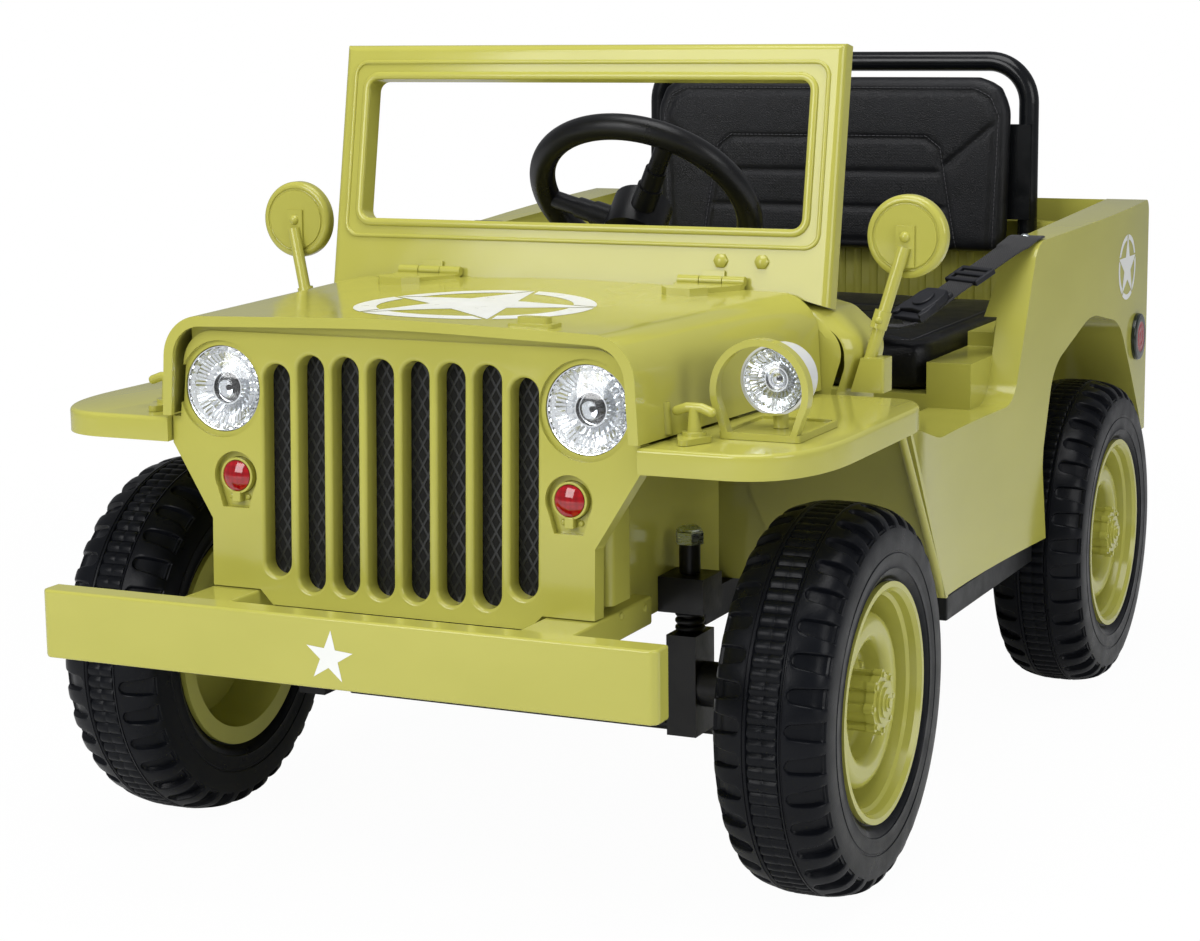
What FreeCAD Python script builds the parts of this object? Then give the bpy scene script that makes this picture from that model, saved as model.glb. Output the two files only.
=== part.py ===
import FreeCAD, Part
import math
import os
import Sketcher

# Child's ride-on 4x4 field car, as a parametric document.
# X runs to the car's left, Y to its rear and Z up. The origin lies on the floor, under the middle.

doc = FreeCAD.newDocument("RideOnCar")
sheet = doc.addObject("Spreadsheet::Sheet", "Dim")

DRIVING_SIZES = {
    # Overall stations along the car
    "front_end": -510,
    "rear_end": 510,
    "front_axle_y": -275,
    "wheelbase": 627,
    "fit_gap": 0.3,
    # Tyres
    "tyre_radius": 135,
    "tyre_half_width": 38,
    "tyre_bulge": 2,
    "tread_edge_radius": 130,
    "tread_band_half": 13,
    "lug_count": 36,
    "lug_share": 0.52,
    "lug_tip_inset": 4,
    "bead_inset": 4,
    "bead_gap": 1.5,
    "wall_bulge_at": 20,
    "lug_drop": 17,
    "wheel_centre_x": 256,
    # Rims and hubs
    "rim_radius": 83,
    "rim_seat_radius": 78,
    "axle_bore": 6.5,
    "hub_barrel_radius": 18.5,
    "hub_plate": 30,
    "hub_face": 36,
    "hub_lobe_circle": 19.5,
    "hub_lobe_radius": 3.6,
    # Bumper and its horns
    "bumper_half": 228,
    "bumper_height": 47.5,
    "bumper_low": 171.5,
    "bumper_depth": 20,
    "bumper_wall": 4,
    "bumper_chamfer": 4,
    "horn_inner": 109,
    "horn_outer": 148,
    "horn_rear": -335,
    "horn_low": 190,
    "horn_top": 210.1,
    # Grille panel
    "grille_low_y": -423,
    "grille_lean": 2.3,
    "grille_low": 211,
    "grille_drop": 10,
    "grille_drop_half": 98,
    "grille_foot_inner": 108,
    "grille_low_half": 146,
    "grille_shoulder": 258,
    "grille_cheek": 309,
    "grille_cheek_half": 177.6,
    "grille_step": 327.5,
    "grille_half": 171,
    "grille_top": 388,
    "grille_top_half": 166.5,
    "grille_corner": 24,
    "grille_depth": 14,
    "slot_width": 20.5,
    "slot_pitch": 26.9,
    "slot_low": 212,
    "slot_top": 374,
    "outer_slot_low": 221,
    "outer_slot_top": 367,
    "slot_lead": 2.8,
    "mesh_thickness": 2,
    "mesh_margin": 3,
    # Lamps in the grille
    "headlamp_x": 138.5,
    "headlamp_z": 348,
    "headlamp_radius": 29.5,
    "headlamp_recess": 33.5,
    "headlamp_recess_depth": 3,
    "headlamp_depth": 16,
    "lens_seat": 4,
    "lens_bulge": 6,
    "marker_x": 127,
    "marker_z": 288.5,
    "marker_radius": 10.8,
    "marker_bezel": 12.6,
    "marker_recess_radius": 17,
    "marker_recess_foot": 22,
    "marker_recess_depth": 6,
    "marker_seat": 1,
    "marker_depth": 10,
    # Bonnet
    "hood_front": -427,
    "hood_rear": -158.3,
    "hood_front_half": 180,
    "hood_rear_half": 204,
    "hood_low": 329,
    "hood_top": 403,
    "hood_corner": 30,
    "hood_crown": 5,
    "hood_crown_bend": 1500,
    "hood_draft": 4,
    "hood_wall": 3.5,
    "hood_lip": 7,
    "catch_x": 100,
    # Bonnet hinges and hooks
    "hinge_x": 117,
    "hinge_y": -154.5,
    "hinge_z": 405,
    "hinge_leaf": 62,
    "hook_x": 202,
    "hook_y": -388,
    # Wings
    "fender_front": -425,
    "fender_rear": -162,
    "fender_top": 327,
    "fender_band": 17,
    "fender_skin": 3.5,
    "fender_half": 291,
    "fender_corner_x": 56,
    "fender_corner_y": 92,
    "fender_tail_x": 28,
    "fender_tail_y": 46,
    "fender_edge": 3,
    "fender_tuck": 2,
    "apron_bead": 6.5,
    "apron_thickness": 5,
    "apron_foot_half": 262,
    # Wing lamp and its guard
    "side_lamp_radius": 21.8,
    "side_lamp_depth": 26,
    "side_lamp_x": 240,
    "side_lamp_y": -345,
    "side_lamp_z": 363,
    "guard_width": 68,
    "guard_foot": 50,
    "guard_pad": 74,
    "guard_y": -372,
    "guard_bar": 4.5,
    "guard_strap": 9,
    "tray_rim": 2.5,
    "guard_top": 393,
    # Cowl
    "cowl_half": 233,
    "cowl_top_half": 207,
    "cowl_top": 384.6,
    "cowl_low": 284,
    "cowl_front": -158,
    "cowl_depth": 62,
    "cowl_wall": 4,
    "cowl_roll": 26,
    "cowl_foot_half": 222,
    "cowl_bulge_z": 362,
    # Windshield
    "screen_lean": 10.4,
    "screen_half": 207,
    "screen_low": 388,
    "screen_top": 576,
    "screen_low_y": -153,
    "screen_depth": 17,
    "screen_opening_half": 183,
    "screen_opening_low": 443,
    "screen_opening_top": 549.5,
    "screen_corner": 8,
    "screen_crown": 9,
    "screen_shoulder_half": 170,
    "screen_round": 6,
    "screen_bead": 5.6,
    "screen_field": 9,
    "screen_field_depth": 2.4,
    "screen_bolt_x": 121.6,
    "screen_bolt_pitch": 32.2,
    "screen_bolt_z": 418.8,
    "screen_bolt_radius": 5.6,
    # Mirrors
    "mirror_x": 255.3,
    "mirror_y": -124,
    "mirror_z": 438,
    "mirror_radius": 30.2,
    "mirror_foot_x": 233,
    "mirror_foot_half": 14.5,
    "mirror_foot_depth": 20,
    "mirror_reach": 14,
    "mirror_foot_top": 352,
    # Tub
    "tub_low": 155,
    "tub_front_top": -177,
    "tub_front_low": -35,
    "sill_line": 281,
    "scuttle_line": 318,
    "side_front_half": 277,
    "side_waist_half": 260,
    "side_mid_half": 268,
    "side_rear_half": 281,
    "wall_front": 180,
    "wall_front_foot": 128,
    "wall_top_front": 408,
    "wall_top_rear": 421,
    "tub_tail_low": 205,
    "footwell_floor": 168,
    "footwell_half": 205,
    "seat_pan": 292,
    "seat_pan_front": 85,
    "seat_well_half": 204,
    "ledge_top": 330,
    "ledge_step_top": 318,
    "ledge_step_rear": 196,
    "ledge_half": 241,
    "well_half_low": 226,
    "well_half_top": 244,
    "seat_bulkhead": 450,
    "bulkhead_thickness": 12,
    "bulkhead_top": 402,
    "rear_wall": 8,
    "cargo_floor": 300,
    "rear_arch_top": 326,
    "arch_inner_x": 206,
    "under_half": 190,
    "pan_thickness": 10,
    # Sills and side reflectors
    "sill_inner": 236,
    "sill_outer": 260,
    "sill_setback": 4,
    "sill_length": 236,
    "sill_height": 20,
    "reflector_radius": 21.5,
    "reflector_proud": 4,
    "reflector_y": 465,
    "reflector_z": 297,
    # Engine bay and battery
    "bay_half": 132.5,
    "bay_wall": 4,
    "bay_low": 188,
    "bay_front": -401.5,
    "bay_rear": -180,
    "bay_ledge": 188,
    "bay_bulge": 16,
    "bay_bulge_length": 34,
    "battery_length": 150,
    "battery_width": 98,
    "battery_height": 95,
    "battery_y": -396,
    # Frame rails
    "rail_low": 129,
    "rail_height": 25.7,
    "rail_x": 60,
    "rail_width": 24,
    "rail_front": -395,
    "rail_step": -90,
    "rail_rear": 470,
    # Steering
    "steer_y": -10,
    "steer_z": 451,
    "steer_radius": 86,
    "steer_tube": 10.3,
    "steer_lean": 45,
    "hub_radius": 24,
    "stem_nut": 10,
    "hub_drop": 22,
    "column_radius": 9,
    "column_length": 96,
    "dash_half": 200,
    "dash_low": 330,
    # Roll hoop with its seat plates
    "hoop_half": 184.5,
    "hoop_top": 549,
    "hoop_tube": 9,
    "hoop_bend": 38,
    "hoop_y": 440.6,
    "plate_height": 87,
    "plate_low": 405,
    # Seat and belt
    "cushion_half": 201,
    "cushion_front": 92,
    "cushion_rear": 425,
    "cushion_thickness": 46,
    "back_half": 176,
    "back_low": 374,
    "back_top": 537,
    "back_thickness": 30,
    "belt_width": 30,
    "belt_thickness": 2,
    "belt_anchor_x": 252,
    "belt_buckle_x": 188,
    "belt_buckle_y": 76,
    "belt_buckle_z": 348,
    "belt_y": 122,
    # Front axle
    "kingpin_x": 150,
    "kingpin_radius": 5,
    "axle_block_low": 188,
    "axle_block_top": 213,
    "axle_block_half": 17,
    "beam_height": 14,
    "beam_half": 12,
    "knuckle_top": 172,
    "knuckle_low": 100,
    "stub_radius": 6,
    "stem_height": 22,
    "stub_reach": 26,
    "stub_flange": 24,
    "steer_arm": 42,
    "rod_pin": 4,
    "rod_slack": 3,
    "rod_drop": 10,
    # Rear axle drives
    "gearbox_inner": 138,
    "gearbox_outer": 189,
    "gearbox_radius": 34,
}

ALIASES = list(DRIVING_SIZES)
for row, alias in enumerate(ALIASES, start=1):
    sheet.set(f"A{row}", alias)
    sheet.set(f"B{row}", str(DRIVING_SIZES[alias]))
    sheet.setAlias(f"B{row}", alias)
doc.recompute()


class Size:
    """A length that knows its value and how the sheet spells it."""

    def __init__(self, value, text):
        self.value = float(value)
        self.text = text

    def __float__(self):
        return self.value

    def __neg__(self):
        return Size(-self.value, f"(-{self.text})")

    def __add__(self, other):
        other = as_size(other)
        return Size(self.value + other.value, f"({self.text} + {other.text})")

    def __sub__(self, other):
        other = as_size(other)
        return Size(self.value - other.value, f"({self.text} - {other.text})")

    def __mul__(self, other):
        other = as_size(other)
        return Size(self.value * other.value, f"({self.text} * {other.text})")

    def __truediv__(self, other):
        other = as_size(other)
        return Size(self.value / other.value, f"({self.text} / {other.text})")

    __radd__ = __add__
    __rmul__ = __mul__

    def __rsub__(self, other):
        return as_size(other) - self


def as_size(value):
    """Turn a plain number into a Size."""
    if isinstance(value, Size):
        return value
    return Size(value, repr(value))


class Sizes:
    """The sheet's cells, read by name."""

    def __getattr__(self, alias):
        return Size(sheet.get(alias), f"Dim.{alias}")


dim = Sizes()
V = FreeCAD.Vector
sub_parts = []
NO_TURN = FreeCAD.Rotation()


def keep(obj, label):
    """Name a finished sub-part and remember it for export."""
    obj.Label = label
    sub_parts.append(obj)
    return obj


def bind(obj, prop, size):
    """Tie one property to the sheet."""
    obj.setExpression(prop, as_size(size).text)


def block(name, x, y, z):
    """A box between two X, two Y and two Z values."""
    box = doc.addObject("Part::Box", name)
    for side, (low, high) in zip(("Length", "Width", "Height"), (x, y, z)):
        bind(box, side, as_size(high) - low)
    for axis, (low, high) in zip("xyz", (x, y, z)):
        bind(box, f"Placement.Base.{axis}", low)
    return box


TURNS = {
    "Z": NO_TURN,
    "X": FreeCAD.Rotation(V(0, 1, 0), 90),
    "Y": FreeCAD.Rotation(V(1, 0, 0), -90),
}


def rod(name, radius, start, length, axis="Z"):
    """A cylinder from a start point along one axis."""
    cylinder = doc.addObject("Part::Cylinder", name)
    bind(cylinder, "Radius", radius)
    bind(cylinder, "Height", length)
    cylinder.Placement = FreeCAD.Placement(V(0, 0, 0), TURNS[axis])
    for letter, value in zip("xyz", start):
        bind(cylinder, f"Placement.Base.{letter}", value)
    return cylinder


def fuse(name, *shapes):
    """Join several objects into one."""
    joined = doc.addObject("Part::MultiFuse", name)
    joined.Shapes = list(shapes)
    joined.Refine = True
    return joined


def cut(name, base, tool):
    """Take one object away from another."""
    rest = doc.addObject("Part::Cut", name)
    rest.Base = base
    rest.Tool = tool
    rest.Refine = True
    return rest


def gather(name, *shapes):
    """Several separate solids in one sub-part."""
    group = doc.addObject("Part::Compound", name)
    group.Links = list(shapes)
    return group


def feature(name, shape):
    """A shape made directly from the sheet's values, kept where it was drawn."""
    made = doc.addObject("Part::Feature", name)
    made.Shape = shape
    made.Placement = shape.Placement
    return made


def flat_face(points, plane):
    """A face from corners (u, v) or (u, v, rounding) on a plane at zero."""
    corners = []
    for point in points:
        radius = float(point[2]) if len(point) > 2 else 0.0
        corners.append((float(point[0]), float(point[1]), radius))
    count = len(corners)
    edges = []
    starts = []
    ends = []
    for i, (u, v, radius) in enumerate(corners):
        here = V(u, v, 0)
        before = V(*corners[i - 1][:2], 0)
        after = V(*corners[(i + 1) % count][:2], 0)
        if radius <= 0:
            starts.append(here)
            ends.append(here)
            continue
        to_before = (before - here).normalize()
        to_after = (after - here).normalize()
        half = to_before.getAngle(to_after) / 2
        reach = radius / math.tan(half)
        middle = here + (to_before + to_after).normalize() * (radius / math.sin(half) - radius)
        first = here + to_before * reach
        last = here + to_after * reach
        edges.append((i, Part.Arc(first, middle, last).toShape()))
        starts.append(first)
        ends.append(last)
    arcs = dict(edges)
    loop = []
    for i in range(count):
        if i in arcs:
            loop.append(arcs[i])
        following = starts[(i + 1) % count]
        if ends[i].distanceToPoint(following) > 1e-6:
            loop.append(Part.LineSegment(ends[i], following).toShape())
    face = Part.Face(Part.Wire(loop))
    if plane == "XZ":
        face.rotate(V(0, 0, 0), V(1, 0, 0), 90)
    if plane == "YZ":
        face.rotate(V(0, 0, 0), V(1, 1, 1), 120)
    return face


def hexagon(radius):
    return [(radius * math.cos(math.radians(60 * i)), radius * math.sin(math.radians(60 * i))) for i in range(6)]


def round_pad(x, y, half, depth, corner, low, high):
    """A flat pad with round corners: its middle in x, its front edge in y, from low to high."""
    left, right = x - half, x + half
    corners = [(left, y, corner), (right, y, corner), (right, y + depth, corner), (left, y + depth, corner)]
    return prism(corners, "XY", low, high)


def fuse_all(shapes):
    return shapes[0].fuse(shapes[1:])


def prism(points, plane, low, high):
    """Extrude an outline between two values on the axis across its plane."""
    axis = {"XY": V(0, 0, 1), "XZ": V(0, 1, 0), "YZ": V(1, 0, 0)}[plane]
    face = flat_face(points, plane)
    face.translate(axis * float(low))
    return face.extrude(axis * (float(high) - float(low)))


def mirrored(shape):
    """The same shape on the car's other side."""
    return shape.mirror(V(0, 0, 0), V(1, 0, 0))


def ball_rod(start, end, radius):
    """A round bar between two points."""
    run = end - start
    return Part.makeCylinder(radius, run.Length, start, run)


SIDES = {"left": 1, "right": -1}


def origin_plane(body, role):
    """One of the body's own origin planes, by its role."""
    return [f for f in body.Origin.OriginFeatures if f.Role == role][0]


def sketch_on(body, support, name):
    """A sketch lying flat on a plane of its body."""
    sketch = body.newObject("Sketcher::SketchObject", name)
    sketch.AttachmentSupport = [(support, "")]
    sketch.MapMode = "FlatFace"
    return sketch


def hold(sketch, kind, places, size):
    """Add one dimension to a sketch and tie it to the sheet."""
    size = as_size(size)
    index = sketch.addConstraint(Sketcher.Constraint(kind, *places, size.value))
    sketch.setExpression(f"Constraints[{index}]", size.text)


def polygon(sketch, corners):
    """A closed outline whose every corner is dimensioned from the origin."""
    points = [V(float(u), float(v), 0) for u, v in corners]
    first = sketch.GeometryCount
    count = len(points)
    for i in range(count):
        sketch.addGeometry(Part.LineSegment(points[i], points[(i + 1) % count]))
    for i in range(count):
        following = first + (i + 1) % count
        sketch.addConstraint(Sketcher.Constraint("Coincident", first + i, 2, following, 1))
    for i, (u, v) in enumerate(corners):
        hold(sketch, "DistanceX", (-1, 1, first + i, 1), u)
        hold(sketch, "DistanceY", (-1, 1, first + i, 1), v)


def rounded_box(sketch, half, low, high, corner):
    """A box centred on the sketch's upright axis, with round corners, all dimensioned."""
    first = sketch.GeometryCount
    u, v0, v1, r = float(half), float(low), float(high), float(corner)
    centres = [(u - r, v1 - r), (-u + r, v1 - r), (-u + r, v0 + r), (u - r, v0 + r)]
    for i, (cu, cv) in enumerate(centres):
        around = Part.Circle(V(cu, cv, 0), V(0, 0, 1), r)
        sketch.addGeometry(Part.ArcOfCircle(around, i * math.pi / 2, (i + 1) * math.pi / 2))
    ends = [
        ((u - r, v1), (-u + r, v1)),
        ((-u, v1 - r), (-u, v0 + r)),
        ((-u + r, v0), (u - r, v0)),
        ((u, v0 + r), (u, v1 - r)),
    ]
    for start, end in ends:
        sketch.addGeometry(Part.LineSegment(V(*start, 0), V(*end, 0)))
    for i in range(4):
        sketch.addConstraint(Sketcher.Constraint("Tangent", first + i, 2, first + 4 + i, 1))
        sketch.addConstraint(Sketcher.Constraint("Tangent", first + 4 + i, 2, first + (i + 1) % 4, 1))
        hold(sketch, "Radius", (first + i,), corner)
    hold(sketch, "DistanceX", (-1, 1, first, 3), half - corner)
    hold(sketch, "DistanceY", (-1, 1, first, 3), high - corner)
    hold(sketch, "DistanceX", (-1, 1, first + 2, 3), corner - half)
    hold(sketch, "DistanceY", (-1, 1, first + 2, 3), low + corner)


def circle(sketch, u, v, radius):
    """A circle dimensioned from the origin."""
    index = sketch.addGeometry(Part.Circle(V(float(u), float(v), 0), V(0, 0, 1), float(radius)))
    hold(sketch, "DistanceX", (-1, 1, index, 3), u)
    hold(sketch, "DistanceY", (-1, 1, index, 3), v)
    hold(sketch, "Radius", (index,), radius)


def slot(sketch, centre, low, top, radius):
    """An upright slot with round ends."""
    u, r = float(centre), float(radius)
    bottom, head = float(low) + r, float(top) - r
    up = V(0, 0, 1)
    lower = sketch.addGeometry(Part.ArcOfCircle(Part.Circle(V(u, bottom, 0), up, r), math.pi, 2 * math.pi))
    upper = sketch.addGeometry(Part.ArcOfCircle(Part.Circle(V(u, head, 0), up, r), 0, math.pi))
    left = sketch.addGeometry(Part.LineSegment(V(u - r, bottom, 0), V(u - r, head, 0)))
    right = sketch.addGeometry(Part.LineSegment(V(u + r, head, 0), V(u + r, bottom, 0)))
    for pair in ((lower, 1, left, 1), (left, 2, upper, 2), (upper, 1, right, 1), (right, 2, lower, 2)):
        sketch.addConstraint(Sketcher.Constraint("Tangent", *pair))
    hold(sketch, "DistanceX", (-1, 1, lower, 3), centre)
    hold(sketch, "DistanceY", (-1, 1, lower, 3), low + radius)
    hold(sketch, "DistanceY", (-1, 1, upper, 3), top - radius)
    hold(sketch, "Radius", (lower,), radius)
    sketch.addConstraint(Sketcher.Constraint("Vertical", left))


def shield(sketch, u, v):
    """A recess with a round head and a foot that tapers to a short flat."""
    radius = dim.marker_recess_radius
    foot = dim.marker_recess_foot
    narrow = radius * 0.62
    cu, cv, r = float(u), float(v), float(radius)
    low = cv - float(foot)
    waist = cv - r * 0.5
    around = Part.Circle(V(cu, cv, 0), V(0, 0, 1), r)
    arc = sketch.addGeometry(Part.ArcOfCircle(around, -math.pi / 6, 7 * math.pi / 6))
    half = r * math.cos(math.pi / 6)
    foot_half = float(narrow)
    corners = [
        V(cu - half, waist, 0),
        V(cu - foot_half, low, 0),
        V(cu + foot_half, low, 0),
        V(cu + half, waist, 0),
    ]
    lines = [sketch.addGeometry(Part.LineSegment(a, b)) for a, b in zip(corners, corners[1:])]
    sketch.addConstraint(Sketcher.Constraint("Coincident", arc, 2, lines[0], 1))
    sketch.addConstraint(Sketcher.Constraint("Coincident", lines[0], 2, lines[1], 1))
    sketch.addConstraint(Sketcher.Constraint("Coincident", lines[1], 2, lines[2], 1))
    sketch.addConstraint(Sketcher.Constraint("Coincident", lines[2], 2, arc, 1))
    hold(sketch, "DistanceX", (-1, 1, arc, 3), u)
    hold(sketch, "DistanceY", (-1, 1, arc, 3), v)
    hold(sketch, "Radius", (arc,), radius)
    hold(sketch, "DistanceX", (-1, 1, lines[1], 1), u - narrow)
    hold(sketch, "DistanceX", (-1, 1, lines[1], 2), u + narrow)
    hold(sketch, "DistanceY", (-1, 1, lines[1], 1), v - foot)
    hold(sketch, "DistanceY", (-1, 1, lines[1], 2), v - foot)
    hold(sketch, "DistanceY", (-1, 1, arc, 1), v - radius / 2)
    hold(sketch, "DistanceY", (-1, 1, arc, 2), v - radius / 2)


# Grille panel with its slots and lamp holes, drawn upright and leaned back as one piece
def make_grille_panel():
    body = doc.addObject("PartDesign::Body", "GrillePanel")
    plane = origin_plane(body, "XZ_Plane")
    rise = dim.grille_low
    outline = [
        (-dim.grille_foot_inner, 0 * rise),
        (-dim.grille_low_half, 0 * rise),
        (-dim.grille_low_half, dim.grille_shoulder - rise),
        (-dim.grille_cheek_half, dim.grille_cheek - rise),
        (-dim.grille_cheek_half, dim.grille_step - rise),
        (-dim.grille_half, dim.grille_step - rise),
        (-dim.grille_top_half, dim.grille_top - rise),
        (dim.grille_top_half, dim.grille_top - rise),
        (dim.grille_half, dim.grille_step - rise),
        (dim.grille_cheek_half, dim.grille_step - rise),
        (dim.grille_cheek_half, dim.grille_cheek - rise),
        (dim.grille_low_half, dim.grille_shoulder - rise),
        (dim.grille_low_half, 0 * rise),
        (dim.grille_foot_inner, 0 * rise),
        (dim.grille_drop_half, -dim.grille_drop),
        (-dim.grille_drop_half, -dim.grille_drop),
    ]
    base = sketch_on(body, plane, "GrilleOutline")
    polygon(base, outline)
    pad = body.newObject("PartDesign::Pad", "GrillePad")
    pad.Profile = base
    bind(pad, "Length", dim.grille_depth)
    pad.Reversed = True
    doc.recompute()
    tops = []
    for i, edge in enumerate(pad.Shape.Edges, start=1):
        box = edge.BoundBox
        if box.XLength < 1e-3 and box.ZLength < 1e-3 and box.ZMin > float(dim.grille_top - rise) - 1:
            tops.append(f"Edge{i}")
    corners = body.newObject("PartDesign::Fillet", "GrilleCorners")
    corners.Base = (pad, tops)
    bind(corners, "Radius", dim.grille_corner)
    body.Tip = corners
    doc.recompute()
    holes = sketch_on(body, plane, "GrilleOpenings")
    for i in range(8):
        centre = dim.slot_pitch * (i - 3.5)
        outer = i in (0, 7)
        low = dim.outer_slot_low if outer else dim.slot_low
        top = dim.outer_slot_top if outer else dim.slot_top
        slot(holes, centre, low - rise, top - rise, dim.slot_width / 2)
    for sign in (1, -1):
        circle(holes, dim.headlamp_x * sign, dim.headlamp_z - rise, dim.headlamp_radius + dim.fit_gap)
        circle(holes, dim.marker_x * sign, dim.marker_z - rise, dim.marker_bezel + dim.fit_gap)
    pocket = body.newObject("PartDesign::Pocket", "GrilleCuts")
    pocket.Profile = holes
    pocket.Type = 1
    pocket.Midplane = True
    doc.recompute()
    leads = []
    for i, edge in enumerate(pocket.Shape.Edges, start=1):
        box = edge.BoundBox
        front = box.YLength < 1e-3 and abs(box.YMin) < 1e-3
        between_lamps = box.XMax < float(dim.slot_pitch) * 4 and box.XMin > -float(dim.slot_pitch) * 4
        if front and between_lamps and box.XLength < float(dim.slot_width) * 1.01 and box.ZMin > -1:
            leads.append(f"Edge{i}")
    lead = body.newObject("PartDesign::Fillet", "SlotLeads")
    lead.Base = (pocket, leads)
    bind(lead, "Radius", dim.slot_lead)
    body.Tip = lead
    doc.recompute()
    rings = sketch_on(body, plane, "LampRecesses")
    for sign in (1, -1):
        circle(rings, dim.headlamp_x * sign, dim.headlamp_z - rise, dim.headlamp_recess)
    ring_cut = body.newObject("PartDesign::Pocket", "LampRecessCuts")
    ring_cut.Profile = rings
    ring_cut.Midplane = True
    bind(ring_cut, "Length", dim.headlamp_recess_depth * 2)
    doc.recompute()
    shields = sketch_on(body, plane, "MarkerRecesses")
    for sign in (1, -1):
        shield(shields, dim.marker_x * sign, dim.marker_z - rise)
    shield_cut = body.newObject("PartDesign::Pocket", "MarkerRecessCuts")
    shield_cut.Profile = shields
    shield_cut.Midplane = True
    bind(shield_cut, "Length", dim.marker_recess_depth * 2)
    body.Tip = shield_cut
    doc.recompute()
    body.Placement = FreeCAD.Placement(V(0, 0, 0), FreeCAD.Rotation(V(1, 0, 0), -float(dim.grille_lean)))
    bind(body, "Placement.Base.y", dim.grille_low_y)
    bind(body, "Placement.Base.z", dim.grille_low)
    return keep(body, "grille_panel")


def leaned(shape):
    """Move a shape drawn on the upright grille plane to its leaning place."""
    shape.rotate(V(0, 0, 0), V(1, 0, 0), -float(dim.grille_lean))
    shape.translate(V(0, float(dim.grille_low_y), float(dim.grille_low)))
    return shape


def make_grille_mesh():
    half = float(dim.slot_pitch) * 4
    behind = float(dim.grille_depth) + float(dim.fit_gap)
    height = float(dim.slot_top - dim.slot_low) + 2 * float(dim.mesh_margin)
    thick = float(dim.mesh_thickness)
    plate = Part.makeBox(2 * half, thick, height, V(-half, behind, -float(dim.mesh_margin)))
    return keep(feature("GrilleMesh", leaned(plate)), "grille_mesh")


# Lamps set in the grille: reflector bowls, domed lenses and the round marker lamps
def lamp_axis_disc(radius, front, depth, x, z):
    """A short round can along Y on the grille plane, placed by its centre."""
    return Part.makeCylinder(radius, depth, V(x, front, z), V(0, 1, 0))


def domed_lens(radius, bulge, thickness, x, z):
    """A watch-glass lens with its rim on the plane and its dome to the front."""
    ball = (radius ** 2 + bulge ** 2) / (2 * bulge)
    outer = Part.makeSphere(ball, V(x, ball - bulge, z))
    inner = Part.makeSphere(ball - thickness, V(x, ball - bulge, z))
    front = Part.makeCylinder(radius, bulge + 1, V(x, -bulge - 1, z), V(0, 1, 0))
    return outer.common(front).cut(inner)


def make_headlamps():
    radius = float(dim.headlamp_radius)
    rise = float(dim.headlamp_z - dim.grille_low)
    depth = float(dim.headlamp_depth)
    seat = float(dim.lens_seat)
    bowls = []
    lenses = []
    for sign in (1, -1):
        x = float(dim.headlamp_x) * sign
        can = lamp_axis_disc(radius, seat, depth, x, rise)
        dish = Part.makeCone(radius - 2, radius / 3, depth * 0.7, V(x, seat, rise), V(0, 1, 0))
        bulb = Part.makeSphere(radius / 6, V(x, seat + depth * 0.7, rise))
        bowls.append(leaned(can.cut(dish).fuse(bulb)))
        lens = domed_lens(radius - float(dim.fit_gap), float(dim.lens_bulge), 1.6, x, rise)
        lens.translate(V(0, seat - float(dim.fit_gap), 0))
        lenses.append(leaned(lens))
    keep(feature("Headlamps", Part.makeCompound(bowls)), "headlamps")
    keep(feature("HeadlampLenses", Part.makeCompound(lenses)), "headlamp_lenses")


def make_marker_lamps():
    radius = float(dim.marker_radius)
    bezel = float(dim.marker_bezel)
    rise = float(dim.marker_z - dim.grille_low)
    seat = float(dim.marker_seat)
    depth = float(dim.marker_depth)
    holders = []
    lenses = []
    for sign in (1, -1):
        x = float(dim.marker_x) * sign
        holder = lamp_axis_disc(bezel, seat, depth + 2, x, rise)
        holder = holder.cut(lamp_axis_disc(radius, seat - 1, depth + 1, x, rise))
        holders.append(leaned(holder))
        lens = domed_lens(radius - float(dim.fit_gap), 3, 2, x, rise)
        body = lamp_axis_disc(radius - float(dim.fit_gap), 0, depth - 1, x, rise)
        lens = lens.fuse(body)
        lens.translate(V(0, seat, 0))
        lenses.append(leaned(lens.removeSplitter()))
    keep(feature("MarkerHolders", Part.makeCompound(holders)), "marker_bezels")
    keep(feature("MarkerLamps", Part.makeCompound(lenses)), "marker_lamps")


# Bonnet: a lofted shell with a lip round the grille, open below
def hood_section(y, half, inset):
    """The bonnet's cross-section at one station, drawn smaller by an inset."""
    half = float(half) - inset
    low = float(dim.hood_low)
    shoulder = float(dim.hood_top) - float(dim.hood_crown) - inset
    top = float(dim.hood_top) - inset
    bend = float(dim.hood_corner) - inset
    draft = float(dim.hood_draft)
    corners = [
        (half, low),
        (half - draft, shoulder, bend),
        (0, top, float(dim.hood_crown_bend)),
        (-half + draft, shoulder, bend),
        (-half, low),
    ]
    wire = flat_face(corners, "XZ").OuterWire
    wire.translate(V(0, float(y), 0))
    return wire


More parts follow.
